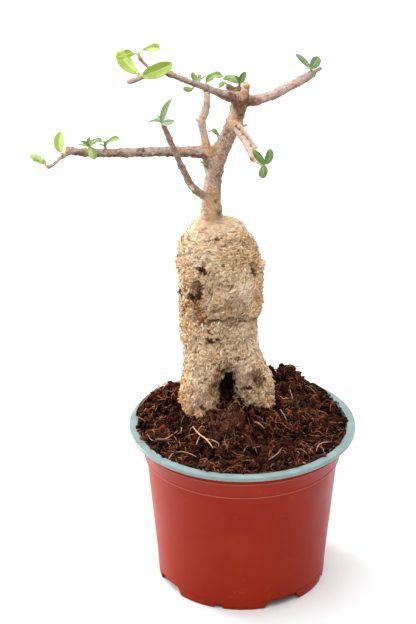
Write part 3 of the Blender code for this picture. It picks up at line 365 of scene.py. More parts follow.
def crumbs_of_peat():
    s = Shader("peat_crumbs", 1.0, 0.0)
    grain = s.noise(0.8, 4.0, 0.72)
    colour = s.mix(s.attribute("tone"), (14, 5, 4), (108, 58, 39))
    colour = s.over(colour, s.range(grain, 0.52, 0.66, 0.0, 0.7), (142, 94, 66))
    s.colour(s.over(colour, s.range(grain, 0.46, 0.36, 0.0, 0.7), (22, 10, 8)))
    s.bump(grain, 0.5)
    return s.material


def fibre(name, dark, light):
    s = Shader(name, 0.85, 0.05)
    streak = s.range(s.noise(1.4, 3.0), 0.35, 0.75)
    s.colour(s.over(s.mix(s.attribute("tone"), dark, light), streak, dark, 0.4))
    return s.material


# Colours of the marks on the bark, dark and light, in the order in which they cover each other
BARK_MARKS = (
    ("olive", (92, 80, 44), (168, 152, 98)), ("pale", (206, 182, 160), (240, 226, 208)),
    ("nub", (176, 118, 72), (214, 166, 116)), ("tan", (166, 118, 76), (222, 186, 142)),
    ("cut", (176, 128, 84), (214, 174, 130)), ("rust", (100, 56, 32), (206, 144, 92)),
    # The stain marks paint soil stains, and painted shade on the inner walls of the gap between the legs
    ("brown", (62, 38, 26), (138, 96, 66)), ("stain_and_gap_shade", (28, 13, 8), (74, 42, 27)),
)


def branch_bark(s):
    """Colour of the trunk and branches, between their tint's dark and light ends."""
    mottled = s.noise(1.9, 5.0, 0.74)
    dots = s.times(s.range(s.cells(1.4), 0.36, 0.2), s.attribute("speck"))
    colour = s.mix(s.attribute("tint"), (88, 58, 47), (204, 173, 150))
    # Painted light on the upper sides of the branches
    colour = s.over(colour, s.attribute("painted_top_light"), (212, 194, 186), 0.4)
    colour = s.over(colour, s.range(mottled, 0.53, 0.64, 0.0, 0.5), (214, 178, 152))
    colour = s.over(colour, s.range(mottled, 0.47, 0.37, 0.0, 0.65), (92, 60, 40))
    return s.over(colour, dots, (228, 204, 168), 0.75)


def bark():
    s = Shader("bark", 0.85, 0.12)
    height = s.attribute("relief")
    is_branch = s.attribute("branch")
    on_body = s.math("SUBTRACT", 1.0, s.times(is_branch, 0.85))
    grain = s.noise(1.5, 5.0, 0.78, distortion=0.5)
    broad = s.noise(4.4, 3.0, 0.6, distortion=0.8)
    patches = s.range(s.noise(6.0, 4.0, 0.6), 0.36, 0.66, -0.25, 0.45)
    warmth = s.math("ADD", patches, s.attribute("warm"), clamp=True)
    colour = s.mix(warmth, (206, 179, 146), (210, 163, 116))
    colour = s.over(colour, s.range(grain, 0.53, 0.6, 0.0, 0.9), (248, 228, 194))
    colour = s.over(colour, s.range(grain, 0.48, 0.4, 0.0, 0.85), (130, 90, 54))
    colour = s.over(colour, s.range(broad, 0.46, 0.3, 0.0, 0.5), (162, 120, 78))
    colour = s.over(colour, s.range(broad, 0.54, 0.7, 0.0, 0.5), (236, 216, 184))
    # Painted shade in the hollows of the relief
    painted_hollow_shade = s.times(s.range(height, 0.48, 0.2), on_body)
    colour = s.over(colour, painted_hollow_shade, (120, 82, 50), 0.85)
    tips = s.times(s.range(height, 0.58, 0.92), on_body)
    tip_colour = s.mix(s.range(s.noise(2.0), 0.4, 0.65), (246, 224, 188), (226, 168, 104))
    colour = s.over(colour, tips, tip_colour, 0.8)
    dome = s.mix(s.range(s.noise(2.6, 5.0, 0.7), 0.4, 0.64), (186, 158, 130), (222, 204, 180))
    colour = s.over(colour, s.attribute("dome"), dome, 0.75)
    colour = s.over(colour, is_branch, branch_bark(s))
    # Painted shade and painted light of the broad soft tones
    colour = s.over(colour, s.attribute("shaded"), (122, 92, 58), 0.68)
    colour = s.over(colour, s.attribute("lit"), (238, 222, 200), 0.5)
    colour = s.over(colour, s.attribute("golden"), (206, 172, 130), 0.6)
    # Painted shade in the creases
    colour = s.over(colour, s.attribute("crease_shade"), (62, 38, 26))
    # Near-black painted shade in the gap between the two legs
    deep = s.mix(s.range(grain, 0.4, 0.6), (20, 10, 8), (58, 36, 26))
    colour = s.over(colour, s.range(s.attribute("deep"), 0.15, 0.6), deep)
    light_grain = s.range(grain, 0.42, 0.6)
    for name, dark, light in BARK_MARKS:
        colour = s.over(colour, s.attribute(name), s.mix(light_grain, dark, light))
    s.colour(colour)
    s.bump(s.math("ADD", s.noise(0.75, 4.0, 0.65), s.times(s.cells(0.9), 0.4)), 0.4)
    return s.material


def flakes_of_bark():
    s = Shader("bark_flakes", 0.85, 0.12)
    grain = s.noise(0.6, 3.0, 0.7)
    pale = s.mix(s.attribute("warm"), (246, 226, 192), (228, 176, 118))
    colour = s.mix(s.attribute("tone"), (104, 70, 42), pale)
    s.colour(s.over(colour, s.range(grain, 0.5, 0.35, 0.0, 0.45), (120, 86, 60)))
    s.bump(grain, 0.15, 0.8)
    return s.material


def leaf_material(name, deep, pale, vein, gloss, half_shade, ribbed):
    """Leaf whose one half is darkened by painted shade of its fold, by the share given, with side veins and a
    rib as strong as ribbed.
    """
    s = Shader(name, gloss, 0.28)
    across = s.attribute("across")
    side = s.math("ABSOLUTE", across)
    slant = s.math("SUBTRACT", s.times(s.attribute("along"), 9.0), s.times(side, 2.4))
    ribs = s.math("SINE", s.times(slant, 2.0 * math.pi))
    colour = s.mix(s.attribute("tone"), deep, pale)
    colour = s.over(colour, s.range(s.noise(2.2, 4.0), 0.4, 0.7), pale, 0.25)
    # Painted shade on one half of the folded leaf
    colour = s.over(colour, s.range(across, 0.05, -0.1), deep, half_shade)
    colour = s.over(colour, s.attribute("under"), pale, 0.45)
    colour = s.over(colour, s.range(ribs, 0.8, 1.0), vein, 0.1)
    colour = s.over(colour, s.range(side, 0.11, 0.02), vein, ribbed)
    colour = s.over(colour, s.range(side, 0.9, 1.0), deep, 0.4)
    s.colour(s.over(colour, s.attribute("cool"), (92, 134, 84), 0.4))
    s.surface.inputs["Subsurface Weight"].default_value = 0.35
    s.surface.inputs["Subsurface Radius"].default_value = (0.8, 1.0, 0.25)
    s.surface.inputs["Subsurface Scale"].default_value = 0.6 * MM
    s.bump(s.math("ADD", s.noise(0.7, 3.0), s.times(ribs, -0.25)), 0.08, 0.6)
    return s.material


def white_floor():
    s = Shader("studio_floor", 0.9, 0.1)
    s.colour(s.mix(s.noise(90.0), (229.19, 231.11, 232.39), (231.11, 233.02, 234.28)))
    return s.material


# Mesh helpers

def finished(piece, replaced=()):
    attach(piece, "root")
    if replaced:
        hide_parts(*replaced)


def linked(name, mesh, materials):
    for material in materials:
        mesh.materials.append(material)
    piece = bpy.data.objects.new(name, mesh)
    bpy.context.scene.collection.objects.link(piece)
    return piece


def mesh_from(name, vertices, faces, attributes=None):
    """Smooth mesh from millimetres, with a named number on each vertex."""
    mesh = bpy.data.meshes.new(name)
    mesh.from_pydata((np.asarray(vertices) * MM).tolist(), [], faces)
    mesh.shade_smooth()
    for key, values in (attributes or {}).items():
        set_attribute(mesh, key, values)
    return mesh


def set_attribute(mesh, key, values):
    layer = mesh.attributes.new(key, "FLOAT", "POINT")
    layer.data.foreach_set("value", np.asarray(values, np.float32))


def evaluated_mesh(piece):
    graph = bpy.context.evaluated_depsgraph_get()
    return bpy.data.meshes.new_from_object(piece.evaluated_get(graph))


def vertex_arrays(mesh):
    """Places in millimetres and unit normals of every vertex."""
    places = np.zeros(len(mesh.vertices) * 3)
    mesh.vertices.foreach_get("co", places)
    normals = np.zeros(len(mesh.vertices) * 3, np.float32)
    mesh.vertex_normals.foreach_get("vector", normals)
    return places.reshape(-1, 3) / MM, normals.reshape(-1, 3).astype(float)


def unit(vectors):
    """One vector or rows of them, each made one long."""
    vectors = np.asarray(vectors, float)
    return vectors / (np.linalg.norm(vectors, axis=-1, keepdims=True) + 1e-9)


def turn_outward(mesh):
    bm = bmesh.new()
    bm.from_mesh(mesh)
    bmesh.ops.recalc_face_normals(bm, faces=bm.faces)
    bm.to_mesh(mesh)
    bm.free()


def tube_faces(start, rings, sides):
    """Faces of a tube with closed ends, whose rings of vertices follow each other from the start."""
    faces = []
    for j in range(rings - 1):
        for k in range(sides):
            a, b = start + j * sides + k, start + j * sides + (k + 1) % sides
            faces.append((a, b, b + sides, a + sides))
    faces.append(tuple(start + k for k in reversed(range(sides))))
    faces.append(tuple(start + (rings - 1) * sides + k for k in range(sides)))
    return faces


def repeated_faces(faces, vertex_count, copies):
    """Faces of many copies of one shape, as lists of vertex numbers."""
    index = faces[None] + (np.arange(copies) * vertex_count)[:, None, None]
    return index.reshape(-1, 3).tolist()


# Pot

def rounded(points, corner, radius, steps=3):
    """Arc of a quarter turn or so in place of a corner, between its two neighbours."""
    before, at, after = (np.array(p, float) for p in (points[corner - 1], points[corner], points[corner + 1]))
    start = at + unit(before - at) * radius
    end = at + unit(after - at) * radius
    arc = []
    for i in range(steps + 1):
        t = i / steps
        arc.append(tuple(start * (1 - t) ** 2 + at * 2 * t * (1 - t) + end * t * t))
    return arc


def softened(points, radii):
    """Profile with its corners rounded by the radius given for each."""
    result = []
    for i, point in enumerate(points):
        if radii[i] and 0 < i < len(points) - 1:
            result.extend(rounded(points, i, radii[i]))
        else:
            result.append(point)
    return result


def turned_solid(name, profile, sides):
    """Closed solid of revolution from (radius, height) points between two points on the axis."""
    bm = bmesh.new()
    turns = [2.0 * math.pi * i / sides for i in range(sides)]
    rings = [[bm.verts.new((radius * math.cos(t), radius * math.sin(t), height)) for t in turns]
             for radius, height in profile[1:-1]]
    poles = [bm.verts.new((0.0, 0.0, profile[0][1])), bm.verts.new((0.0, 0.0, profile[-1][1]))]
    for i in range(sides):
        j = (i + 1) % sides
        bm.faces.new((poles[0], rings[0][i], rings[0][j]))
        bm.faces.new((poles[1], rings[-1][j], rings[-1][i]))
        for upper, lower in zip(rings, rings[1:]):
            bm.faces.new((upper[i], lower[i], lower[j], upper[j]))
    return solid_object(name, bm)


def solid_object(name, bm):
    bm.normal_update()
    bmesh.ops.recalc_face_normals(bm, faces=bm.faces)
    bmesh.ops.scale(bm, vec=(MM, MM, MM), verts=bm.verts)
    mesh = bpy.data.meshes.new(name)
    bm.to_mesh(mesh)
    bm.free()
    return linked(name, mesh, [])


def wedge(angle, half_width, height, slant, inner_radius, grow):
    """Block that fills one radial channel of the base, wider at the bottom."""
    bm = bmesh.new()
    bmesh.ops.create_cube(bm, size=1.0)
    below = 6.0
    top = height + grow
    turn = math.radians(angle - 90.0)
    for vertex in bm.verts:
        upper = vertex.co.z > 0.0
        side = math.copysign(half_width + grow - slant * ((top if upper else -below) / height), vertex.co.y)
        reach = RIM_RADIUS + 10.0 if vertex.co.x > 0.0 else inner_radius - grow
        vertex.co = Vector((reach * math.cos(turn) - side * math.sin(turn),
                            reach * math.sin(turn) + side * math.cos(turn), top if upper else -below))
    return solid_object("channel", bm)


def cut(target, cutters):
    for cutter in cutters:
        modifier = target.modifiers.new("Cut", "BOOLEAN")
        modifier.operation = "DIFFERENCE"
        modifier.solver = "EXACT"
        modifier.object = cutter
    mesh = evaluated_mesh(target)
    for piece in [target, *cutters]:
        bpy.data.objects.remove(piece, do_unlink=True)
    return linked("cut_solid", mesh, [])


def base_wedges(grow):
    channels = [wedge(angle, *CHANNEL, grow) for angle in CHANNEL_ANGLES]
    return channels + [wedge(angle, *NOTCH, grow) for angle in NOTCH_ANGLES]


def drain_holes():
    holes = []
    middle = (DRAIN_HOLE_BOTTOM + DRAIN_HOLE_TOP) / 2.0
    for angle in CHANNEL_ANGLES:
        turn = math.radians(angle - 90.0)
        place = (math.cos(turn) * DRAIN_HOLE_DISTANCE, math.sin(turn) * DRAIN_HOLE_DISTANCE, middle)
        bm = bmesh.new()
        bmesh.ops.create_cone(bm, cap_ends=True, segments=24, radius1=DRAIN_HOLE_RADIUS,
                              radius2=DRAIN_HOLE_RADIUS, depth=DRAIN_HOLE_TOP - DRAIN_HOLE_BOTTOM)
        bmesh.ops.translate(bm, verts=bm.verts, vec=place)
        holes.append(solid_object("drain_hole", bm))
    return holes


def pot_profiles():
    """Outline of the pot, and of its hollow, from the axis at the top to the axis at the bottom."""
    lip_radius = RIM_RADIUS - LIP_THICKNESS
    outside = [
        (0.0, RIM_HEIGHT), (RIM_RADIUS, RIM_HEIGHT), (RIM_RADIUS, RIM_HEIGHT - LIP_HEIGHT),
        (lip_radius, RIM_HEIGHT - LIP_HEIGHT), (lip_radius, RIM_HEIGHT - FLANGE_THICKNESS),
        (COLLAR_TOP_RADIUS, RIM_HEIGHT - FLANGE_THICKNESS), (COLLAR_LINE[0] + 0.2, COLLAR_LINE[1] + 0.6),
        (COLLAR_LINE[0] + BEAD, COLLAR_LINE[1] + 0.25), (COLLAR_LINE[0] + BEAD, COLLAR_LINE[1] - 0.2),
        (COLLAR_LINE[0] - 0.1, COLLAR_LINE[1] - 0.6),
        (COLLAR_FOOT[0] + 0.3, COLLAR_FOOT[1] + 0.8), (COLLAR_FOOT[0] + BEAD, COLLAR_FOOT[1] + 0.4),
        (COLLAR_FOOT[0] + BEAD, COLLAR_FOOT[1] - 0.1), (WALL_TOP_RADIUS, COLLAR_FOOT[1] - 2.0 * MOULDED_STEP),
        (FOOT_LINE[0], FOOT_LINE[1] + MOULDED_STEP), (FOOT_LINE[0] + 0.2, FOOT_LINE[1] - 0.25),
        (BASE_RADIUS, 0.0), (0.0, 0.0),
    ]
    radii = [0.0, 0.75, 0.35, 0.25, 0.2, 0.5] + [0.1] * 8 + [0.15, 0.15, 0.6, 0.0]
    above = RIM_HEIGHT + 5.0
    inside = [
        (0.0, above), (RIM_INNER_RADIUS + EDGE + 3.0, above), (RIM_INNER_RADIUS + EDGE, RIM_HEIGHT),
        (RIM_INNER_RADIUS, RIM_HEIGHT - EDGE), (COLLAR_LINE[0] - WALL, COLLAR_LINE[1]),
        (WALL_TOP_RADIUS - WALL + 0.3, COLLAR_FOOT[1]), (FOOT_LINE[0] - WALL, FOOT_LINE[1]),
        (BASE_RADIUS - WALL - EDGE, WALL + EDGE), (BASE_RADIUS - WALL - 2.0 * EDGE, WALL), (0.0, WALL),
    ]
    return softened(outside, radii), softened(inside, [0.0, 0.0, 0.25, 0.25] + [0.0] * 6)


def bead_crests(places):
    """Where the two beads of the collar stand proud, as 1, which takes a painted highlight."""
    from_axis = np.hypot(places[:, 0], places[:, 1])
    bead_highlight = np.zeros(len(places))
    for radius, height in (COLLAR_LINE, COLLAR_FOOT):
        on_bead = (np.abs(places[:, 2] - height - 0.1) < 0.42) & (from_axis > radius + BEAD - 0.16)
        bead_highlight = np.maximum(bead_highlight, on_bead.astype(float))
    return bead_highlight


def build_pot():
    outside, inside = pot_profiles()
    hollow = cut(turned_solid("pot_hollow", inside, POT_SIDES), base_wedges(WALL))
    cutters = [hollow] + base_wedges(0.0) + drain_holes()
    pot = cut(turned_solid("pot_outside", outside, POT_SIDES), cutters)
    pot.name = "pot_shell"
    mesh = pot.data
    for material in (red_plastic(), teal_plastic()):
        mesh.materials.append(material)
    set_attribute(mesh, "bead_highlight", bead_crests(vertex_arrays(mesh)[0]))
    channel_top = CHANNEL[1] + WALL + 0.4
    for face in mesh.polygons:
        x, y, z = (value / MM for value in face.center)
        outward = (face.normal.x * x + face.normal.y * y) / max(1.0, math.hypot(x, y))
        on_rim = z > RIM_HEIGHT - LIP_HEIGHT - 0.05
        on_inner_wall = outward < -0.3 and z > channel_top
        on_floor = face.normal.z > 0.5 and z < 15.0
        face.material_index = 1 if on_rim or on_inner_wall or on_floor else 0
    mesh.shade_smooth()
    mesh.set_sharp_from_angle(angle=math.radians(SHARP_ANGLE))
    finished(pot, ["pot"])


# Soil

def mound(x, y):
    """Height of the soil without its lumps: level with the rim in front, banked behind."""
    height = np.full(x.shape, SOIL_LEVEL)
    for mound_x, mound_y, spread_x, spread_y, rise in SOIL_MOUNDS:
        height += rise * np.exp(-((x - mound_x) / spread_x) ** 2 - ((y - mound_y) / spread_y) ** 2)
    edge = smoothstep(*EDGE_BAND, np.hypot(x, y))
    return height + (np.minimum(height, EDGE_LEVEL) - height) * 0.75 * edge


def highest(x, y, table):
    """Highest of a table's soft lumps at each place."""
    total = np.zeros(x.shape)
    for x_at, y_at, x_spread, y_spread, height in table:
        total = np.maximum(total, height * bell(np.hypot((x - x_at) / x_spread, (y - y_at) / y_spread), 1.0))
    return total


def flat_places(x, y):
    return np.stack([x, y, np.zeros_like(x)], axis=1)


def soil_relief(x, y):
    """Lumps, crumbs, pits and matted fibres of the soil, in millimetres above the mound."""
    flat = flat_places(x, y)
    bent = flat + 1.2 * flat_places(noise(flat / 4.0, 12), noise(flat / 4.0, 13))
    lumps = 1.9 * noise(flat / 9.0, 3) + 1.7 * noise(bent / 4.2, 4)
    turn = 2.5 * noise(flat / 11.0, 5)
    u = x * np.cos(turn) + y * np.sin(turn)
    v = y * np.cos(turn) - x * np.sin(turn)
    matted = 1.0 - np.abs(noise(flat_places(u / 0.8, v / 5.0), 6)) * 2.0
    coarse, coarse_number = cells(bent / 3.4, 1)
    small, small_number = cells(flat / 1.6, 2)
    grains = 2.2 * (0.5 - coarse) * (0.3 + coarse_number) + 1.0 * (0.5 - small) * (0.3 + small_number)
    pits = smoothstep(0.05, 0.32, noise(bent / 5.6, 9))
    patch = highest(x, y, SOIL_PATCHES)
    rough = lumps + 0.7 * matted + grains - 4.6 * pits - highest(x, y, SOIL_HOLLOWS)
    return rough * (1.0 - 0.55 * patch) + 0.8 * patch, patch


def soil_height(x, y, share):
    """Height of the soil with a share of its relief."""
    return mound(x, y) + share * soil_relief(x, y)[0]


def damp_soil(x, y):
    """Broad dark patches of damp soil from 0 to 1."""
    flat = flat_places(x, y)
    return smoothstep(-0.15, 0.25, noise(flat / 15.0, 15) + 0.4 * noise(flat / 6.0, 16))


def disc_grid(count):
    """Even grid on the unit disc: a square grid bent so that its edge is the circle."""
    line = np.linspace(-1.0, 1.0, count + 1)
    a, b = np.meshgrid(line, line, indexing="ij")
    a, b = a.ravel(), b.ravel()
    first = np.abs(a) > np.abs(b)
    safe_a, safe_b = np.where(a == 0.0, 1.0, a), np.where(b == 0.0, 1.0, b)
    radius = np.where(first, a, b)
    turn = np.where(first, math.pi / 4.0 * b / safe_a, math.pi / 2.0 - math.pi / 4.0 * a / safe_b)
    return radius * np.cos(turn), radius * np.sin(turn)


def build_soil():
    x, y = disc_grid(SOIL_GRID)
    radius = np.hypot(x, y)
    ux, uy = x / np.maximum(radius, 1e-6), y / np.maximum(radius, 1e-6)
    spill = SOIL_SPILL * smoothstep(*SPILL_LEVELS, mound(ux * SOIL_RADIUS, uy * SOIL_RADIUS))
    reach = SOIL_RADIUS + spill * smoothstep(0.85, 1.0, radius)
    x, y = x * reach, y * reach
    relief, patch = soil_relief(x, y)
    height = mound(x, y) + relief * (0.25 + 0.75 * smoothstep(1.0, 0.93, radius))
    over_rim = smoothstep(SOIL_RADIUS - 0.2, SOIL_RADIUS + 0.3, radius * reach)
    height = np.where(over_rim > 0.5, np.maximum(height, RIM_HEIGHT + 0.2), height)
    vertices = list(zip(x, y, height))
    side = SOIL_GRID + 1
    faces = []
    for i in range(SOIL_GRID):
        for j in range(SOIL_GRID):
            a = i * side + j
            faces.append((a, a + side, a + side + 1, a + 1))
    loop = [i * side for i in range(SOIL_GRID)] + [SOIL_GRID * side + j for j in range(SOIL_GRID)]
    loop += [i * side + SOIL_GRID for i in range(SOIL_GRID, 0, -1)] + list(range(SOIL_GRID, 0, -1))
    skirt = [(SOIL_RADIUS - 0.1, RIM_HEIGHT - 1.4), (COLLAR_LINE[0] - WALL - 0.4, COLLAR_LINE[1]),
             (WALL_TOP_RADIUS - WALL - 0.1, COLLAR_FOOT[1]), (FOOT_LINE[0] - WALL - 0.4, SOIL_FLOOR)]
    above = loop
    for ring_radius, ring_height in skirt:
        start = len(vertices)
        for index in loop:
            turn = math.atan2(y[index], x[index])
            vertices.append((ring_radius * math.cos(turn), ring_radius * math.sin(turn), ring_height))
        below = list(range(start, start + len(loop)))
        for k in range(len(loop)):
            after = (k + 1) % len(loop)
            faces.append((above[k], above[after], below[after], below[k]))
        above = below
    faces.append(tuple(above))
    hidden = len(skirt) * len(loop)
    numbers = {"relief": [*smoothstep(-4.5, 3.5, relief), *[0.4] * hidden],
               "patch": [*patch, *[0.0] * hidden]}
    mesh = mesh_from("soil_surface", vertices, faces, numbers)
    turn_outward(mesh)
    finished(linked("soil_surface", mesh, [peat()]), ["soil"])


def in_legs(x, y, margin=0.0):
    inside = np.zeros(np.shape(x), bool)
    for leg_x, leg_y, half_x, half_y in LEG_FEET:
        inside |= ((x - leg_x) / (half_x + margin)) ** 2 + ((y - leg_y) / (half_y + margin)) ** 2 < 1.0
    return inside


def scattered(count, radius, draws):
    """Even random places on the soil, clear of the legs."""
    x, y = np.zeros(0), np.zeros(0)
    while len(x) < count:
        turn = draws.uniform(0.0, 2.0 * math.pi, count)
        out = radius * np.sqrt(draws.uniform(0.0, 1.0, count))
        new_x, new_y = out * np.cos(turn), out * np.sin(turn)
        keep = ~in_legs(new_x, new_y, -0.8)
        x, y = np.concatenate([x, new_x[keep]]), np.concatenate([y, new_y[keep]])
    return x[:count], y[:count]


def unit_chunk(subdivisions):
    bm = bmesh.new()
    bmesh.ops.create_icosphere(bm, subdivisions=subdivisions, radius=1.0)
    places = np.array([vertex.co for vertex in bm.verts])
    faces = np.array([[vertex.index for vertex in face.verts] for face in bm.faces])
    bm.free()
    return places, faces


def random_turns(count, draws):
    """Rotation matrices spread evenly over all directions."""
    q = draws.normal(size=(count, 4))
    w, x, y, z = (q / np.linalg.norm(q, axis=1, keepdims=True)).T
    rows = [1 - 2 * (y * y + z * z), 2 * (x * y - z * w), 2 * (x * z + y * w),
            2 * (x * y + z * w), 1 - 2 * (x * x + z * z), 2 * (y * z - x * w),
            2 * (x * z - y * w), 2 * (y * z + x * w), 1 - 2 * (x * x + y * y)]
    return np.stack(rows, axis=1).reshape(-1, 3, 3)


def chunks(name, centres, sizes, tones, material, draws, detail=2):
    """Broken lumps: one rough ball for each centre, squashed and turned its own way."""
    shape, faces = unit_chunk(detail)
    count = len(centres)
    squash = draws.uniform(0.45, 1.15, (count, 1, 3))
    own = shape[None] * squash
    lumpy = noise((shape[None] * 1.1 + centres[:, None] * 1.7).reshape(-1, 3), 21).reshape(count, -1, 1)
    own = own * (1.0 + 0.75 * lumpy)
    if detail > 2:
        places = (shape[None] * sizes[:, None, None] + centres[:, None]).reshape(-1, 3)
        crumbly = 0.6 - cells(places / 1.5, 22)[0] + 0.5 * noise(places / 0.8, 23)
        own = own * (1.0 + 0.4 * crumbly.reshape(count, -1, 1))
    own = np.einsum("nij,nvj->nvi", random_turns(count, draws), own)
    places = own * sizes[:, None, None] + centres[:, None]
    mesh = mesh_from(name, places.reshape(-1, 3), repeated_faces(faces, len(shape), count),
                     {"tone": np.repeat(tones, len(shape))})
    finished(linked(name, mesh, [material]))


def build_crumbs():
    draws = np.random.default_rng(11)
    x, y = scattered(CRUMB_COUNT, CRUMB_REACH, draws)
    size = np.clip(draws.lognormal(-0.25, 0.42, len(x)), 0.35, 2.6)
    coarse_x, coarse_y, spread_x, spread_y = COARSE_CRUMBS
    size *= 1.0 + 0.9 * np.exp(-((x - coarse_x) / spread_x) ** 2 - ((y - coarse_y) / spread_y) ** 2)
    z = soil_height(x, y, 0.8) + 0.15 * size
    z = np.where(np.hypot(x, y) > SOIL_RADIUS - 0.5, np.maximum(z, RIM_HEIGHT + 0.3 * size), z)
    # Crumbs in the soil's hollows are darkened as painted shade
    hollow = smoothstep(0.0, 4.0, -soil_relief(x, y)[0])
    tones = np.clip(draws.random(len(x)) ** 2.0 - 0.2 * hollow, 0.0, 1.0)
    material = crumbs_of_peat()
    chunks("soil_crumbs", np.stack([x, y, z], axis=1), size, tones, material, draws)
    x, y, above, size = np.array(CLODS).T
    tones = draws.uniform(0.15, 0.5, len(CLODS))
    centres = np.stack([x, y, mound(x, y) + above], axis=1)
    chunks("soil_clods", centres, size, tones, material, draws, detail=4)


def strands(name, paths, radii, tones, sides, material):
    """Thin round strands, thinner at both ends, along rows of points of equal number."""
    count, steps, _ = paths.shape
    heading = unit(np.gradient(paths, axis=1))
    across = unit(np.cross(heading, np.array([0.13, 0.21, 0.97])))
    above = np.cross(across, heading)
    along = np.linspace(0.0, 1.0, steps)
    taper = 0.25 + 0.75 * np.sin(math.pi * np.clip(along, 0.02, 0.98)) ** 0.5
    width = radii[:, None] * taper[None]
    rings = []
    for k in range(sides):
        turn = 2.0 * math.pi * k / sides
        rings.append(paths + (across * math.cos(turn) + above * math.sin(turn)) * width[:, :, None])
    places = np.stack(rings, axis=2).reshape(-1, 3)
    faces = [face for i in range(count) for face in tube_faces(i * steps * sides, steps, sides)]
    mesh = mesh_from(name, places, faces, {"tone": np.repeat(tones, steps * sides)})
    finished(linked(name, mesh, [material]))


def lying_paths(count, low, high, steps, rise, draws):
    """Curved rows of points that lie on the soil, some arching up from it."""
    x, y = scattered(count, FIBRE_REACH, draws)
    turn = draws.uniform(0.0, 2.0 * math.pi, count)
    bend = draws.normal(0.0, 0.06, count)
    length = np.exp(draws.uniform(math.log(low), math.log(high), count))
    span = np.linspace(-0.5, 0.5, steps)[None] * length[:, None]
    heading = turn[:, None] + bend[:, None] * span + 0.16 * np.sin(span * 0.8 + turn[:, None] * 3.0)
    step = length / (steps - 1)
    px = x[:, None] + np.cumsum(np.cos(heading), axis=1) * step[:, None]
    py = y[:, None] + np.cumsum(np.sin(heading), axis=1) * step[:, None]
    limit = np.minimum(1.0, FIBRE_LIMIT / np.hypot(px, py))
    px, py = px * limit, py * limit
    relief = soil_relief(px.ravel(), py.ravel())[0]
    smooth = noise(flat_places(px.ravel() / 8.0, py.ravel() / 8.0), 3) * 1.5
    ground = mound(px, py) + (0.5 * smooth + 0.5 * np.clip(relief, -2.5, 3.0)).reshape(px.shape)
    lift = draws.uniform(0.0, 1.0, count)[:, None] ** 2 * rise
    tilt = draws.normal(0.0, 0.16, count)[:, None] * span
    arch = lift * (1.0 - (2.0 * span / length[:, None]) ** 2)
    pz = ground + 0.25 + arch + np.maximum(tilt, -0.4)
    pz = np.where(np.hypot(px, py) > SOIL_RADIUS - 0.6, np.maximum(pz, RIM_HEIGHT + 0.15), pz)
    return np.stack([px, py, pz], axis=2)


def laid_straw(points):
    """Path of a single straw through its points, kept above the soil inside the pot."""
    path = smooth_path([(*point, 1.0) for point in points])[:, :3]
    share = np.linspace(0.0, 1.0, len(path))
    x, y, z = (np.interp(np.linspace(0.0, 1.0, STRAW_STEPS), share, column) for column in path.T)
    ground = soil_height(x, y, 0.6) + 0.3
    return np.stack([x, y, np.where(np.hypot(x, y) < STRAW_INSIDE, np.maximum(z, ground), z)], axis=1)


def build_fibres():
    draws = np.random.default_rng(23)
    coir = lying_paths(COIR_COUNT, 2.5, 11.0, 7, 2.2, draws)
    x, y = coir[:, 3, 0], coir[:, 3, 1]
    # Fibres in the soil's hollows are darkened as painted shade
    tones = draws.random(len(coir)) ** 2.9 - 0.25 * smoothstep(0.0, 4.0, -soil_relief(x, y)[0])
    tones = np.clip(tones * (1.25 - 0.9 * damp_soil(x, y)), 0.0, 1.0)
    radii = draws.uniform(0.1, 0.27, len(coir))
    strands("coir_fibres", coir, radii, tones, 3, fibre("coir", (22, 9, 6), (206, 136, 90)))
    loose = lying_paths(STRAW_COUNT, 4.0, 12.0, STRAW_STEPS, 2.4, draws)
    radii, tones = draws.uniform(0.14, 0.3, len(loose)), draws.uniform(0.0, 0.8, len(loose))
    placed_radii, placed_tones, points = zip(*STRAWS)
    paths = np.concatenate([loose, [laid_straw(row) for row in points]])
    strands("straw_fibres", paths, np.append(radii, placed_radii), np.append(tones, placed_tones), 6,
            fibre("straw", (128, 78, 50), (232, 192, 152)))


# Caudex and branches

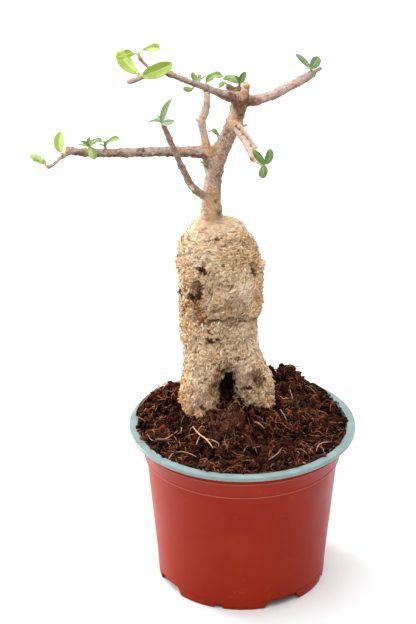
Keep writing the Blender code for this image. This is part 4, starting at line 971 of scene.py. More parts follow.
BRANCHES = {
    "trunk": (0.56, [
        (-17.6, 12.0, 212.0, 7.2), (-17.8, 12.0, 218.5, 6.2), (-17.7, 12.0, 224.0, 5.7),
        (-17.9, 12.0, 230.0, 5.4), (-17.5, 12.0, 236.0, 5.0), (-16.7, 12.0, 243.0, 4.7),
        (-15.9, 12.0, 249.0, 5.0), (-14.4, 12.0, 255.5, 4.9), (-11.8, 11.6, 261.5, 4.7),
        (-9.6, 11.2, 266.5, 4.4), (-7.3, 10.6, 272.0, 4.4), (-5.0, 10.2, 277.0, 4.6),
        (-3.9, 10.0, 282.0, 4.6), (-2.9, 10.0, 287.0, 4.7), (-1.8, 9.8, 291.8, 4.3),
    ]),
    "left_fork": (0.5, [
        (-17.0, 12.0, 246.0, 3.8), (-18.8, 11.8, 253.0, 4.2), (-19.9, 11.5, 258.0, 4.0),
        (-20.6, 11.4, 261.4, 3.1),
    ]),
    "left_branch": (0.12, [
        (-18.4, 11.5, 259.0, 3.6), (-23.0, 11.2, 258.9, 3.4), (-33.0, 10.2, 259.5, 3.05),
        (-43.5, 9.0, 260.0, 2.8), (-54.0, 7.8, 260.3, 2.75), (-64.5, 6.8, 260.2, 2.6),
        (-75.0, 5.8, 260.5, 2.5), (-85.0, 4.6, 261.1, 2.4), (-91.5, 3.6, 262.0, 2.3),
        (-97.3, 2.4, 264.0, 2.3),
    ]),
    "drooping_twig": (0.5, [
        (-95.0, 2.6, 262.6, 1.6), (-97.6, 1.4, 261.4, 1.5), (-100.0, 0.4, 260.2, 1.2),
        (-102.2, -0.8, 258.3, 1.1), (-104.4, -2.4, 256.7, 1.15), (-107.4, -3.9, 256.2, 1.2),
    ]),
    "upright_twig": (0.6, [
        (-20.6, 11.3, 259.5, 3.0), (-20.9, 11.6, 263.6, 2.7), (-21.5, 12.4, 267.2, 2.2),
        (-22.9, 14.6, 273.4, 2.3), (-23.0, 15.8, 276.2, 2.4), (-21.4, 17.8, 279.6, 2.35),
        (-20.5, 19.8, 283.6, 2.15), (-20.2, 21.8, 288.2, 2.0), (-20.6, 24.5, 292.0, 1.75),
    ]),
    "upright_twig_spur": (0.7, [
        (-22.6, 15.7, 275.2, 1.6), (-24.8, 15.3, 276.1, 1.25), (-26.7, 15.0, 276.5, 0.9),
    ]),
    "front_twig": (0.3, [
        (-19.0, 9.4, 232.6, 2.6), (-22.6, 6.3, 235.2, 2.4), (-26.1, 3.3, 239.1, 2.25),
        (-29.0, -0.2, 243.8, 2.1), (-32.0, -6.0, 252.8, 1.85), (-35.0, -9.8, 261.4, 1.75),
        (-37.8, -13.5, 270.1, 1.7), (-40.5, -16.6, 278.1, 1.6), (-43.7, -20.6, 287.8, 1.45),
    ]),
    "upper_left_branch": (0.22, [
        (-1.4, 9.4, 291.0, 3.5), (-5.0, 7.2, 292.3, 3.2), (-11.0, 4.6, 295.0, 2.75),
        (-18.0, 1.7, 299.0, 2.45), (-24.8, -1.4, 303.0, 2.2), (-31.8, -4.8, 306.8, 2.15),
        (-38.6, -7.6, 311.0, 1.95), (-44.0, -8.8, 313.4, 1.85), (-50.4, -9.0, 315.0, 1.5),
    ]),
    "upper_left_up_twig": (0.3, [
        (-48.4, -8.8, 314.4, 1.6), (-52.4, -8.2, 316.3, 1.35), (-55.0, -8.0, 319.4, 1.45),
        (-56.4, -7.8, 321.6, 1.6),
    ]),
    "upper_left_down_twig": (0.35, [
        (-48.6, -9.4, 314.4, 1.6), (-51.6, -12.8, 313.7, 1.5), (-54.8, -15.7, 313.0, 1.5),
        (-58.4, -17.0, 311.7, 1.4), (-62.6, -18.0, 310.6, 1.4),
    ]),
    "right_branch": (0.46, [
        (-1.4, 9.8, 290.6, 3.7), (4.0, 10.5, 289.2, 3.2), (8.0, 12.1, 289.4, 3.0),
        (15.6, 15.8, 290.7, 2.75), (22.8, 19.7, 293.0, 2.6), (30.0, 23.3, 295.5, 2.45),
        (36.2, 26.3, 298.0, 2.45), (38.2, 27.2, 299.0, 2.1),
    ]),
    "right_branch_stub": (0.2, [
        (36.6, 26.6, 298.2, 1.4), (39.8, 28.2, 300.1, 1.2), (42.8, 29.8, 301.5, 1.1),
    ]),
    "lower_right_branch": (0.5, [
        (-4.6, 7.0, 277.0, 2.9), (-2.9, 0.5, 276.2, 2.6), (0.4, -8.0, 274.0, 2.35),
        (2.8, -16.0, 271.7, 2.3), (5.2, -23.8, 268.9, 2.25),
    ]),
    "lower_right_shoot": (0.7, [
        (4.9, -21.5, 269.6, 1.8), (7.4, -27.0, 268.9, 1.5), (9.5, -32.0, 269.3, 1.25),
    ]),
    "alongside_twig": (0.72, [
        (-5.7, 6.5, 278.2, 1.5), (-3.6, 4.2, 278.1, 1.3), (-1.3, 0.6, 277.3, 1.15),
        (1.2, -4.6, 276.0, 1.05), (3.5, -9.2, 274.4, 1.0), (5.5, -13.6, 273.1, 1.0),
        (6.8, -16.4, 272.4, 0.95),
    ]),
    "cut_stub": (0.6, [(-0.4, 9.2, 290.0, 2.9), (0.5, 8.6, 295.2, 2.5), (1.3, 8.0, 300.4, 2.1)]),
    "broken_stump": (0.1, [(-2.6, 10.6, 288.0, 3.8), (-4.4, 14.6, 291.4, 3.6), (-5.8, 17.0, 293.2, 3.0)]),
    "broken_stump_left": (0.1, [
        (-5.4, 16.2, 291.6, 2.4), (-7.4, 16.8, 293.8, 2.1), (-9.1, 17.0, 295.8, 1.6),
    ]),
    "broken_stump_right": (0.1, [
        (-3.8, 15.0, 291.6, 2.4), (-2.8, 16.8, 293.8, 2.0), (-2.4, 17.6, 294.7, 1.5),
    ]),
    "fork_stub": (0.5, [(-17.2, 12.8, 258.6, 2.4), (-15.4, 15.8, 260.8, 1.9), (-14.2, 18.4, 262.2, 1.4)]),
}
FRESH_CUTS = ("cut_stub", "left_branch", "drooping_twig", "upper_left_down_twig")

# Marks on the bark as (x, y, z, radius, strength)
MARKS = {
    "stain_and_gap_shade": (
        (-0.9, -1.5, 118.2, 1.2, 0.8), (1.9, -4.0, 119.8, 1.3, 1.0), (4.4, -4.6, 120.1, 1.1, 0.9),
        (-23.3, -7.0, 195.7, 2.1, 1.0), (-21.3, -7.9, 194.3, 1.8, 1.0), (-25.2, -6.0, 196.5, 1.5, 0.8),
        (-28.6, -3.3, 177.7, 2.8, 1.0), (-24.9, -5.8, 179.2, 2.4, 1.0), (-24.1, -6.7, 181.5, 1.9, 1.0),
        (-32.0, -0.2, 180.9, 1.9, 0.8), (-34.8, 6.9, 175.7, 2.2, 1.0), (-33.1, 2.5, 177.4, 1.1, 0.6),
        (-30.3, -1.4, 175.9, 1.6, 0.9), (-26.5, -4.8, 176.6, 1.4, 0.8), (-18.2, -6.4, 151.4, 2.0, 1.0),
        (-14.6, -7.2, 152.5, 1.4, 1.0), (-13.5, -7.2, 153.1, 0.8, 0.8), (-19.1, -6.6, 156.6, 0.9, 0.8),
        (5.7, -0.5, 191.5, 1.4, 0.8), (6.4, 1.0, 189.4, 1.3, 0.7), (-13.5, 7.4, 223.7, 1.7, 0.7),
        # The stain marks from (-10.6, 2.9, 128.5) to (-3.4, 6.0, 112.0) are painted shade on the inner walls
        # of the gap between the legs
        (-10.6, 7.1, 270.3, 1.1, 0.6), (-22.5, -7.7, 108.9, 1.5, 0.9), (-10.6, 2.9, 128.5, 3.0, 0.9),
        (-7.0, 14.0, 122.0, 7.5, 1.0), (-7.2, 12.0, 112.0, 8.0, 1.0), (-13.3, 6.0, 118.4, 3.6, 0.95),
        (-14.0, 3.0, 124.0, 2.6, 0.85), (-11.8, 9.0, 110.5, 3.6, 0.95), (-4.6, 8.0, 120.0, 3.4, 0.95),
        (-3.4, 6.0, 112.0, 3.0, 0.9), (-2.5, 2.8, 116.3, 1.5, 0.8), (0.3, -2.7, 119.4, 1.3, 0.85),
        (3.6, -4.6, 119.8, 1.0, 0.75), (-16.6, 27.0, 185.0, 2.6, 0.7), (4.0, 27.6, 170.0, 2.2, 0.6),
        (-30.0, 24.0, 150.0, 2.4, 0.6), (-31.3, 4.9, 209.8, 1.2, 0.7), (-14.9, -3.2, 212.9, 1.2, 0.8),
        (-12.2, -3.0, 213.4, 0.8, 0.6),
    ),
    "brown": (
        (-25.8, -6.0, 186.7, 3.0, 0.9), (-24.7, -6.5, 184.5, 2.2, 0.95), (-27.5, -5.0, 183.7, 2.1, 0.8),
        (-22.4, -7.2, 198.0, 1.6, 0.6), (-32.0, 1.1, 169.7, 1.9, 0.9), (-33.2, 3.2, 166.8, 1.8, 0.9),
        (-33.8, 4.0, 172.0, 1.3, 0.7), (-22.5, -5.9, 163.1, 1.9, 0.8), (-26.4, -4.0, 163.4, 1.6, 0.7),
        (-19.6, -6.6, 162.6, 1.5, 0.6), (-20.2, -5.8, 153.0, 1.2, 0.7), (4.9, 1.0, 195.7, 1.8, 0.55),
        (7.0, 0.6, 192.6, 2.4, 0.6), (8.7, -2.5, 127.3, 4.5, 0.9), (11.1, -0.5, 123.7, 3.2, 0.85),
        (6.4, -3.8, 130.5, 3.0, 0.7), (9.9, -2.4, 121.4, 2.8, 0.7), (-12.3, -3.1, 130.8, 2.6, 0.9),
        (-14.5, -4.9, 127.9, 2.2, 0.8), (-15.1, -4.3, 122.4, 2.6, 0.85), (-15.8, -4.6, 118.0, 2.0, 0.7),
        (-9.0, -3.0, 133.4, 2.6, 0.8), (-23.6, -7.7, 110.2, 1.6, 0.6), (1.6, -4.0, 117.0, 2.0, 0.6),
        (-3.7, 5.7, 288.6, 4.0, 0.85), (-6.5, 3.5, 294.0, 3.2, 0.75), (-1.5, 5.9, 285.0, 3.4, 0.75),
        (2.9, 7.0, 289.6, 3.4, 0.8), (0.7, 6.2, 290.6, 1.8, 0.7), (-2.6, 14.4, 294.0, 4.4, 0.85),
        (-8.0, 15.0, 294.4, 4.0, 0.85), (-6.0, 14.2, 294.3, 2.6, 0.8), (-3.0, 6.0, 281.0, 2.0, 0.6),
        (-7.0, 3.1, 293.0, 1.8, 0.7), (-10.5, 1.1, 294.8, 2.0, 0.6), (-21.6, 7.8, 257.0, 2.0, 0.85),
        (-20.7, 7.9, 254.2, 1.7, 0.75), (-20.5, 8.2, 251.4, 1.4, 0.6), (-15.1, 7.5, 231.0, 1.2, 0.6),
        (-24.4, 8.5, 256.8, 2.0, 0.8), (5.0, 8.8, 291.2, 1.8, 0.7), (8.0, 9.4, 290.4, 1.6, 0.55),
        (-55.3, 5.9, 262.2, 1.2, 0.9), (-58.0, 5.9, 262.2, 1.0, 0.7), (-67.8, 4.1, 260.9, 1.6, 0.5),
        (-88.5, 2.0, 262.3, 2.2, 0.55), (-83.1, 2.7, 261.9, 1.8, 0.5), (-96.8, 1.6, 264.6, 0.9, 0.9),
        # The five small brown marks from height 278.2 to 273.4 are painted shade in the gap between the
        # alongside twig and the lower right branch
        (-4.4, 1.6, 278.2, 0.8, 0.9), (-2.9, -1.6, 277.6, 0.8, 0.9), (-0.9, -6.2, 276.4, 0.8, 0.9),
        (1.2, -10.6, 274.9, 0.8, 0.9), (3.1, -14.9, 273.4, 0.8, 0.8), (-12.8, 7.2, 240.0, 1.8, 0.5),
        (-9.0, 6.6, 273.0, 1.6, 0.55), (-14.6, 7.4, 246.0, 1.6, 0.4), (-12.4, 7.0, 258.0, 2.0, 0.45),
    ),
    "tan": (
        (-19.6, 9.9, 265.1, 2.4, 0.9), (-20.7, 8.8, 263.2, 2.0, 0.85), (-18.4, 7.7, 258.4, 1.5, 0.8),
        (-19.0, 8.5, 261.0, 1.8, 0.5), (0.6, 6.1, 298.2, 2.6, 0.75), (0.7, 6.2, 294.9, 2.2, 0.8),
        (-1.2, 5.7, 292.5, 1.6, 0.7), (-14.7, 12.7, 262.6, 2.4, 0.8), (-6.0, 4.0, 278.8, 2.2, 0.8),
        (-0.1, 6.1, 287.8, 1.3, 0.7), (1.6, 8.3, 286.2, 1.3, 0.7), (-17.9, 6.0, 225.9, 4.0, 0.35),
        (-19.0, 6.6, 231.7, 3.0, 0.3), (-20.8, 6.7, 221.5, 3.6, 0.4), (-15.4, 6.8, 220.4, 3.0, 0.3),
        (-19.1, 7.3, 237.8, 2.0, 0.4), (-31.2, -5.4, 246.6, 1.3, 0.7), (-72.5, 3.9, 261.5, 0.9, 0.9),
        (-49.9, 5.7, 260.8, 1.0, 0.95), (-31.4, 8.0, 261.4, 1.3, 0.9), (-39.2, 5.8, 258.6, 1.0, 0.7),
        (-62.6, 4.2, 259.8, 0.8, 0.8), (-97.6, 0.8, 265.0, 1.5, 0.7), (-42.2, -9.5, 313.8, 1.6, 0.7),
        (-32.8, -7.3, 308.2, 1.2, 0.6), (-23.4, -3.1, 302.6, 1.3, 0.6), (-15.1, 0.6, 295.8, 0.9, 0.9),
        (-11.3, 2.0, 292.8, 1.0, 0.9), (-26.2, 14.6, 276.6, 1.3, 0.7), (-22.4, 13.0, 276.8, 1.4, 0.5),
        (-33.4, 0.3, 110.5, 3.0, 0.7), (-32.2, -1.0, 105.0, 3.4, 0.75), (-34.6, 6.0, 124.0, 2.2, 0.6),
        (-3.1, 3.5, 112.7, 0.9, 0.9), (-1.4, 0.4, 114.9, 0.9, 0.9), (9.0, -2.0, 107.0, 3.0, 0.35),
        (-17.9, 6.4, 216.8, 3.4, 0.3), (5.4, -25.0, 269.2, 1.4, 0.6), (2.4, -14.4, 272.6, 1.0, 0.5),
    ),
    "rust": (
        (-26.4, -4.8, 174.4, 2.6, 0.95), (-25.2, -5.5, 171.6, 2.9, 1.0), (-24.7, -5.4, 168.5, 2.6, 1.0),
        (-27.5, -3.8, 172.1, 2.6, 0.8), (-22.5, -6.1, 165.1, 2.6, 0.95), (-24.1, -5.6, 166.2, 2.4, 0.9),
        (-30.2, -1.6, 172.8, 2.9, 0.7), (-26.0, -4.4, 189.8, 1.6, 0.5), (4.0, -5.0, 200.0, 3.2, 0.4),
        (-6.0, 31.0, 190.0, 5.0, 0.4),
    ),
    "pale": (
        (-28.2, -1.5, 242.2, 1.2, 0.95), (-29.4, -3.1, 244.4, 1.1, 0.9), (-7.0, 7.3, 284.4, 2.0, 0.7),
        (-8.7, 8.7, 280.5, 2.0, 0.7), (-22.4, 8.0, 248.0, 2.2, 0.5), (-21.6, 8.4, 243.0, 1.8, 0.45),
    ),
    "olive": (
        (-25.7, 1.1, 238.4, 2.2, 0.65), (-24.1, 2.7, 236.0, 2.2, 0.65), (-30.3, 6.7, 259.8, 3.0, 0.55),
        (-36.0, 7.0, 259.2, 2.8, 0.4), (-16.4, 9.3, 260.8, 3.0, 0.5), (-9.0, -6.0, 158.0, 8.0, 0.15),
        (4.0, 4.0, 284.6, 2.4, 0.4), (6.0, -3.0, 104.0, 5.0, 0.2), (-2.0, -6.6, 168.0, 6.0, 0.15),
    ),
}
# Broad soft tones on the caudex as (x, y, z, radius, strength): painted shade (shaded), painted light (lit),
# near-black painted shade in the gap between the legs (deep) and a golden colour (golden)
TONES = {
    "shaded": (
        (-15.8, -9.3, 188.3, 5.0, 0.6), (-9.5, -9.6, 187.0, 5.0, 0.6), (-20.6, -8.0, 186.0, 4.5, 0.6),
        (-25.0, -6.0, 184.5, 5.0, 0.5), (-30.8, -1.6, 181.5, 4.5, 0.45), (-24.1, -6.0, 176.8, 4.5, 0.4),
        (-7.4, -8.4, 174.9, 5.0, 0.8), (-4.0, -7.2, 172.5, 5.0, 0.8), (-10.2, -8.2, 170.5, 4.5, 0.7),
        (-1.7, -5.7, 167.4, 4.5, 0.8), (0.5, -5.4, 172.8, 3.0, 0.5), (-14.1, -8.2, 171.1, 4.0, 0.5),
        (-19.6, -7.7, 171.5, 4.0, 0.4), (-10.0, -7.7, 164.4, 4.0, 0.5), (-4.0, -6.0, 163.0, 4.0, 0.45),
        (-29.8, -1.4, 167.1, 4.0, 0.4), (-16.2, -4.6, 122.6, 4.0, 0.7), (-14.5, -3.0, 116.0, 4.0, 0.7),
        (-13.4, -2.6, 110.5, 4.5, 0.8), (-13.0, -4.4, 128.0, 4.0, 0.7), (-8.0, -5.2, 135.0, 4.0, 0.45),
        (4.0, -4.5, 111.0, 5.0, 0.5), (-14.0, -5.6, 152.0, 5.0, 0.3), (-33.2, 4.0, 160.8, 3.0, 0.4),
        (-12.6, 8.0, 228.0, 3.5, 0.5), (-12.6, 8.0, 236.0, 4.0, 0.6), (-12.3, 8.0, 244.0, 4.0, 0.7),
        (-10.6, 8.0, 252.0, 4.0, 0.8), (-7.6, 8.0, 260.0, 4.0, 0.8), (-4.6, 8.0, 268.0, 4.0, 0.7),
        (0.6, 7.0, 283.0, 3.0, 0.8), (1.5, 7.0, 288.0, 3.5, 0.9), (-1.0, 6.5, 289.0, 3.0, 0.8),
    ),
    # Near-black painted shade in the gap between the legs
    "deep": (
        (-7.5, 16.0, 124.0, 9.0, 1.0), (-7.5, 16.0, 114.0, 10.0, 1.0), (-9.0, 10.0, 108.0, 8.0, 1.0),
        (-6.6, 9.0, 118.0, 6.0, 1.0), (-11.5, 6.0, 117.0, 5.0, 0.9), (-7.5, 10.0, 126.0, 5.0, 0.9),
    ),
    "golden": (
        (-17.5, 6.0, 222.0, 7.0, 0.9), (-18.5, 6.5, 230.0, 6.0, 0.6), (-16.5, 9.0, 262.0, 4.0, 0.6),
        (-20.0, 9.0, 264.0, 4.0, 0.7), (-33.0, -2.0, 110.0, 7.0, 0.6), (-26.0, -4.0, 103.0, 7.0, 0.6),
        (10.0, -2.0, 106.0, 7.0, 0.5), (-4.5, 5.0, 279.0, 3.0, 0.5),
    ),
    "lit": (
        (-22.0, 9.0, 224.0, 4.0, 0.6), (-22.0, 9.0, 232.0, 4.0, 0.7), (-21.5, 9.0, 240.0, 4.0, 0.7),
        (-20.3, 8.6, 248.0, 3.5, 0.6), (-14.0, 8.0, 262.0, 2.5, 0.4), (-7.5, 7.0, 282.0, 3.0, 0.8),
        (-6.4, 6.6, 286.0, 2.6, 0.7),
        (-28.5, -0.6, 206.2, 6.0, 0.8), (-24.1, -4.0, 205.3, 6.0, 0.9), (-29.6, -2.6, 201.1, 6.0, 0.7),
        (-25.2, -5.7, 199.6, 5.0, 0.8), (-19.6, -5.7, 207.4, 6.0, 0.8), (-15.8, -7.2, 204.4, 5.0, 0.6),
        (-9.0, -5.0, 208.0, 5.0, 0.4), (1.8, -1.8, 153.0, 6.0, 0.6), (4.1, 1.4, 146.0, 6.0, 0.8),
        (5.3, 0.8, 140.9, 5.0, 0.7), (7.6, 6.8, 145.5, 7.0, 0.9), (2.9, -1.1, 158.4, 4.0, 0.6),
        (8.0, 9.0, 155.0, 6.0, 0.8), (-31.9, -1.1, 194.2, 5.0, 0.5), (0.2, -5.9, 186.0, 4.5, 0.8),
        (2.1, -4.7, 178.6, 4.5, 0.8), (1.6, -4.6, 192.0, 3.5, 0.5), (-11.9, -10.0, 181.6, 3.6, 0.7),
        (-1.6, -3.4, 128.6, 3.0, 0.8), (-2.6, 0.0, 122.0, 2.6, 0.7), (0.6, -4.6, 134.0, 4.0, 0.6),
        (-26.0, -5.0, 147.0, 5.0, 0.4), (-25.0, -5.0, 128.0, 6.0, 0.4), (8.6, -1.0, 134.0, 5.0, 0.5),
        (-26.0, -3.0, 118.0, 8.0, 0.35), (-27.5, -2.0, 107.0, 8.0, 0.35), (9.5, -3.0, 117.0, 7.0, 0.35),
    ),
}
# Creases and raised cords on the caudex as (half width, rise, painted shade in the crease, points)
LINES = (
    (0.5, -0.8, 0.9, ((-31.3, 4.0, 209.0), (-26.3, -0.7, 209.9), (-20.8, -3.2, 211.3), (-17.4, -3.4, 212.1),
                      (-12.5, -2.5, 213.5), (-9.7, -0.5, 214.4), (-6.9, 1.2, 214.5), (-1.9, 5.1, 213.1),
                      (0.4, 6.9, 211.4))),
    (0.35, -0.35, 0.5, ((-28.0, 1.4, 210.5), (-20.8, -1.9, 212.9), (-14.7, -1.9, 214.1),
                        (-11.9, -1.6, 214.3))),
    (0.4, -0.35, 0.45, ((-30.8, 2.4, 207.9), (-24.1, -2.8, 209.4), (-17.4, -4.2, 210.6), (-11.9, -3.6, 212.1),
                        (-6.4, -1.5, 211.5), (-1.9, 0.2, 208.9))),
    (1.0, -0.8, 0.4, ((-1.9, 2.9, 211.9), (0.4, 2.1, 208.1), (1.5, 0.9, 204.3), (0.9, -2.1, 200.8),
                      (0.3, -3.2, 198.9))),
    (0.7, 0.8, 0.0, ((-13.0, -7.9, 201.0), (-8.6, -6.9, 201.8), (-6.4, -5.5, 203.6), (-4.1, -3.7, 204.6))),
    (0.6, 0.6, 0.0, ((-24.1, -6.2, 200.3), (-21.9, -6.6, 202.9), (-20.2, -5.9, 205.0))),
    (1.0, -0.9, 0.85, ((3.7, -0.3, 196.3), (4.9, -0.3, 193.8), (6.0, -0.4, 190.8), (6.6, 0.0, 188.2))),
    (0.7, 0.7, 0.0, ((-21.9, -7.6, 188.7), (-19.0, -8.5, 187.3), (-16.8, -9.1, 184.6), (-16.0, -8.8, 180.6),
                     (-17.6, -8.7, 176.9))),
    (0.6, -0.5, 0.7, ((-23.0, -7.6, 187.2), (-19.9, -8.5, 185.6), (-18.2, -9.1, 182.4),
                      (-18.0, -8.8, 179.0))),
    (0.6, 1.0, 0.0, ((-9.7, -9.3, 185.2), (-5.7, -8.4, 181.7), (-1.8, -7.1, 178.0))),
    (1.1, -0.8, 0.35, ((-14.1, -8.2, 171.1), (-9.6, -8.6, 175.6), (-6.3, -8.5, 178.0), (-1.8, -7.1, 177.3),
                       (0.5, -5.4, 172.8), (1.7, -3.5, 166.9))),
    (1.3, -1.2, 1.0, ((-26.4, -4.1, 166.6), (-23.0, -5.8, 164.3), (-19.6, -6.9, 163.9), (-15.2, -7.5, 164.5),
                       (-10.1, -7.7, 165.2), (-6.8, -8.0, 167.0), (-4.0, -6.5, 165.3), (-0.0, -3.6, 162.6),
                       (5.1, 1.4, 161.4), (8.1, 9.5, 158.7))),
    (0.85, -0.8, 1.0, ((-3.1, 3.6, 117.1), (-0.9, -1.5, 118.2), (1.9, -4.0, 120.1), (5.3, -4.6, 120.1),
                       (7.1, -4.3, 118.0))),
    (0.6, 0.9, 0.0, ((-4.0, 1.5, 112.9), (-2.5, -0.5, 113.6), (-0.3, -2.3, 115.8))),
    # Painted shade in the gap between the alongside twig and the lower right branch
    (0.7, -0.8, 1.0, ((-6.0, 3.9, 278.6), (-4.4, 0.4, 278.2), (-2.3, -3.1, 277.9), (-0.2, -6.2, 277.1),
                      (1.4, -8.3, 275.9), (3.0, -11.8, 274.7), (4.6, -14.1, 273.3))),
    (0.45, -0.4, 0.7, ((-18.0, 6.6, 218.6), (-14.0, 6.0, 218.2), (-10.6, 7.0, 218.6))),
    (0.7, -0.6, 0.8, ((-14.6, -4.4, 132.7), (-10.6, -4.9, 133.6), (-7.0, -3.0, 132.0))),
)
# Single knobs and dents on the caudex as (x, y, z, radius, rise)
KNOBS = (
    (-17.9, -6.6, 151.6, 1.5, 1.4), (-34.8, 6.9, 175.9, 1.4, 1.2), (10.6, 9.4, 191.4, 1.5, 1.3),
    (11.2, 8.0, 194.6, 1.3, 0.9), (11.0, 10.5, 188.6, 0.8, 1.3), (10.5, 10.5, 177.0, 0.8, 1.0),
    (-22.2, -8.1, 109.8, 1.4, 0.9), (5.7, -0.5, 191.5, 1.9, -1.3), (6.4, 1.0, 188.6, 1.6, -1.0),
    (-9.8, -9.3, 187.9, 1.0, 0.9), (-8.0, -9.0, 185.6, 1.0, 1.0), (-6.3, -8.6, 183.4, 1.0, 1.0),
    (-4.2, -8.0, 180.8, 1.0, 1.0), (-2.1, -7.2, 178.4, 1.0, 0.9), (-28.0, -4.0, 178.4, 2.4, -0.9),
    (-22.1, -7.6, 194.8, 1.6, -0.8), (2.6, -4.6, 183.0, 5.0, 0.9), (-20.0, -7.0, 187.0, 6.0, 0.7),
    (-11.8, -8.7, 175.0, 1.4, 0.8), (2.1, -4.6, 175.5, 1.3, 0.8), (-8.4, -8.0, 171.0, 4.0, 0.8),
    (-24.0, -6.0, 168.0, 3.0, -0.6), (-31.5, 0.0, 166.0, 3.0, -0.5), (-19.6, 2.6, 216.9, 0.8, 0.5),
    (-15.8, 1.4, 216.9, 0.8, 0.5), (-13.0, -7.4, 199.5, 4.5, 0.6), (-28.5, -2.5, 158.0, 4.0, 0.7),
    (-24.0, -6.0, 140.0, 6.0, 0.7), (2.0, -5.0, 133.0, 3.6, 0.7), (9.5, -1.0, 113.0, 4.0, 0.6),
)


def smooth_path(points, step=0.8):
    """Catmull-Rom curve through (x, y, z, radius) points, sampled about every step."""
    dense = []
    padded = [points[0], *points, points[-1]]
    for a, b, c, d in zip(padded, padded[1:], padded[2:], padded[3:]):
        count = max(1, round(math.dist(b[:3], c[:3]) / step))
        for k in range(count):
            t = k / count
            dense.append([0.5 * (2.0 * q + (r - p) * t + (2.0 * p - 5.0 * q + 4.0 * r - s) * t * t
                                 + (3.0 * q - p - 3.0 * r + s) * t ** 3) for p, q, r, s in zip(a, b, c, d)])
    dense.append(list(points[-1]))
    return np.array(dense)


def branch_guide():
    """Samples of every centre line, a row for each.

    A row holds place, radius, heading, distance along, tint, distance to the end, and 1 where that end
    is a fresh cut.
    """
    rows = []
    for name, (tint, points) in BRANCHES.items():
        path = smooth_path(points)
        heading = unit(np.gradient(path[:, :3], axis=0))
        steps = np.linalg.norm(np.diff(path[:, :3], axis=0), axis=1)
        distance = np.concatenate([[0.0], np.cumsum(steps)])
        fresh = 1.0 if name in FRESH_CUTS else 0.0
        for k in range(len(path)):
            rows.append([*path[k], *heading[k], distance[k], tint, distance[-1] - distance[k], fresh])
    return np.array(rows)


def nearest_rows(points, guide):
    tree = KDTree(len(guide))
    for i, row in enumerate(guide):
        tree.insert(row[:3], i)
    tree.balance()
    return guide[[tree.find(point)[1] for point in points]]


def marks(points, table, fall_off):
    """Strongest mark of a table at each point, by how it falls off over its radius."""
    total = np.zeros(len(points))
    for x, y, z, radius, strength in table:
        distance = np.linalg.norm(points - np.array((x, y, z)), axis=1)
        total = np.maximum(total, strength * fall_off(distance / radius))
    return np.clip(total, 0.0, 1.0)


def marks_and_tones(points):
    """Marks with a ragged and broken edge, and broad soft tones without an edge."""
    rag = 1.0 + 0.5 * noise(points / 1.4, 31) + 0.45 * noise(points / 0.75, 32)
    found = {key: marks(points, table, lambda share: smoothstep(1.3, 0.6, share * rag))
             for key, table in MARKS.items()}
    found.update({key: marks(points, table, lambda share: bell(share, 1.0)) for key, table in TONES.items()})
    return found


def drawn_lines(points):
    """Rise and painted shade of the single creases and cords, broken along their way."""
    rise, dark = np.zeros(len(points)), np.zeros(len(points))
    shaken = jostled(points, 0.45, 1.6, 57)
    broken = 0.55 + 0.45 * smoothstep(-0.35, 0.25, noise(points / 2.2, 60))
    for width, height, shade_strength, corners in LINES:
        path = smooth_path([(*corner, 1.0) for corner in corners])[:, :3]
        low, high = path.min(axis=0) - 5.0, path.max(axis=0) + 5.0
        near = np.flatnonzero(np.all((shaken > low) & (shaken < high), axis=1))
        distance = np.full(len(near), 99.0)
        for place in path:
            distance = np.minimum(distance, np.linalg.norm(shaken[near] - place, axis=1))
        share = bell(distance, width) * broken[near]
        rise[near] += height * share
        dark[near] = np.maximum(dark[near], shade_strength * share)
    return rise, dark


def crease_distance(points, across, table, ripple, size, seed):
    """Height above a crease that runs through a table of places and heights, with some ripple."""
    return points[:, 2] - np.interp(across, *table) + ripple * noise(points / size, seed)


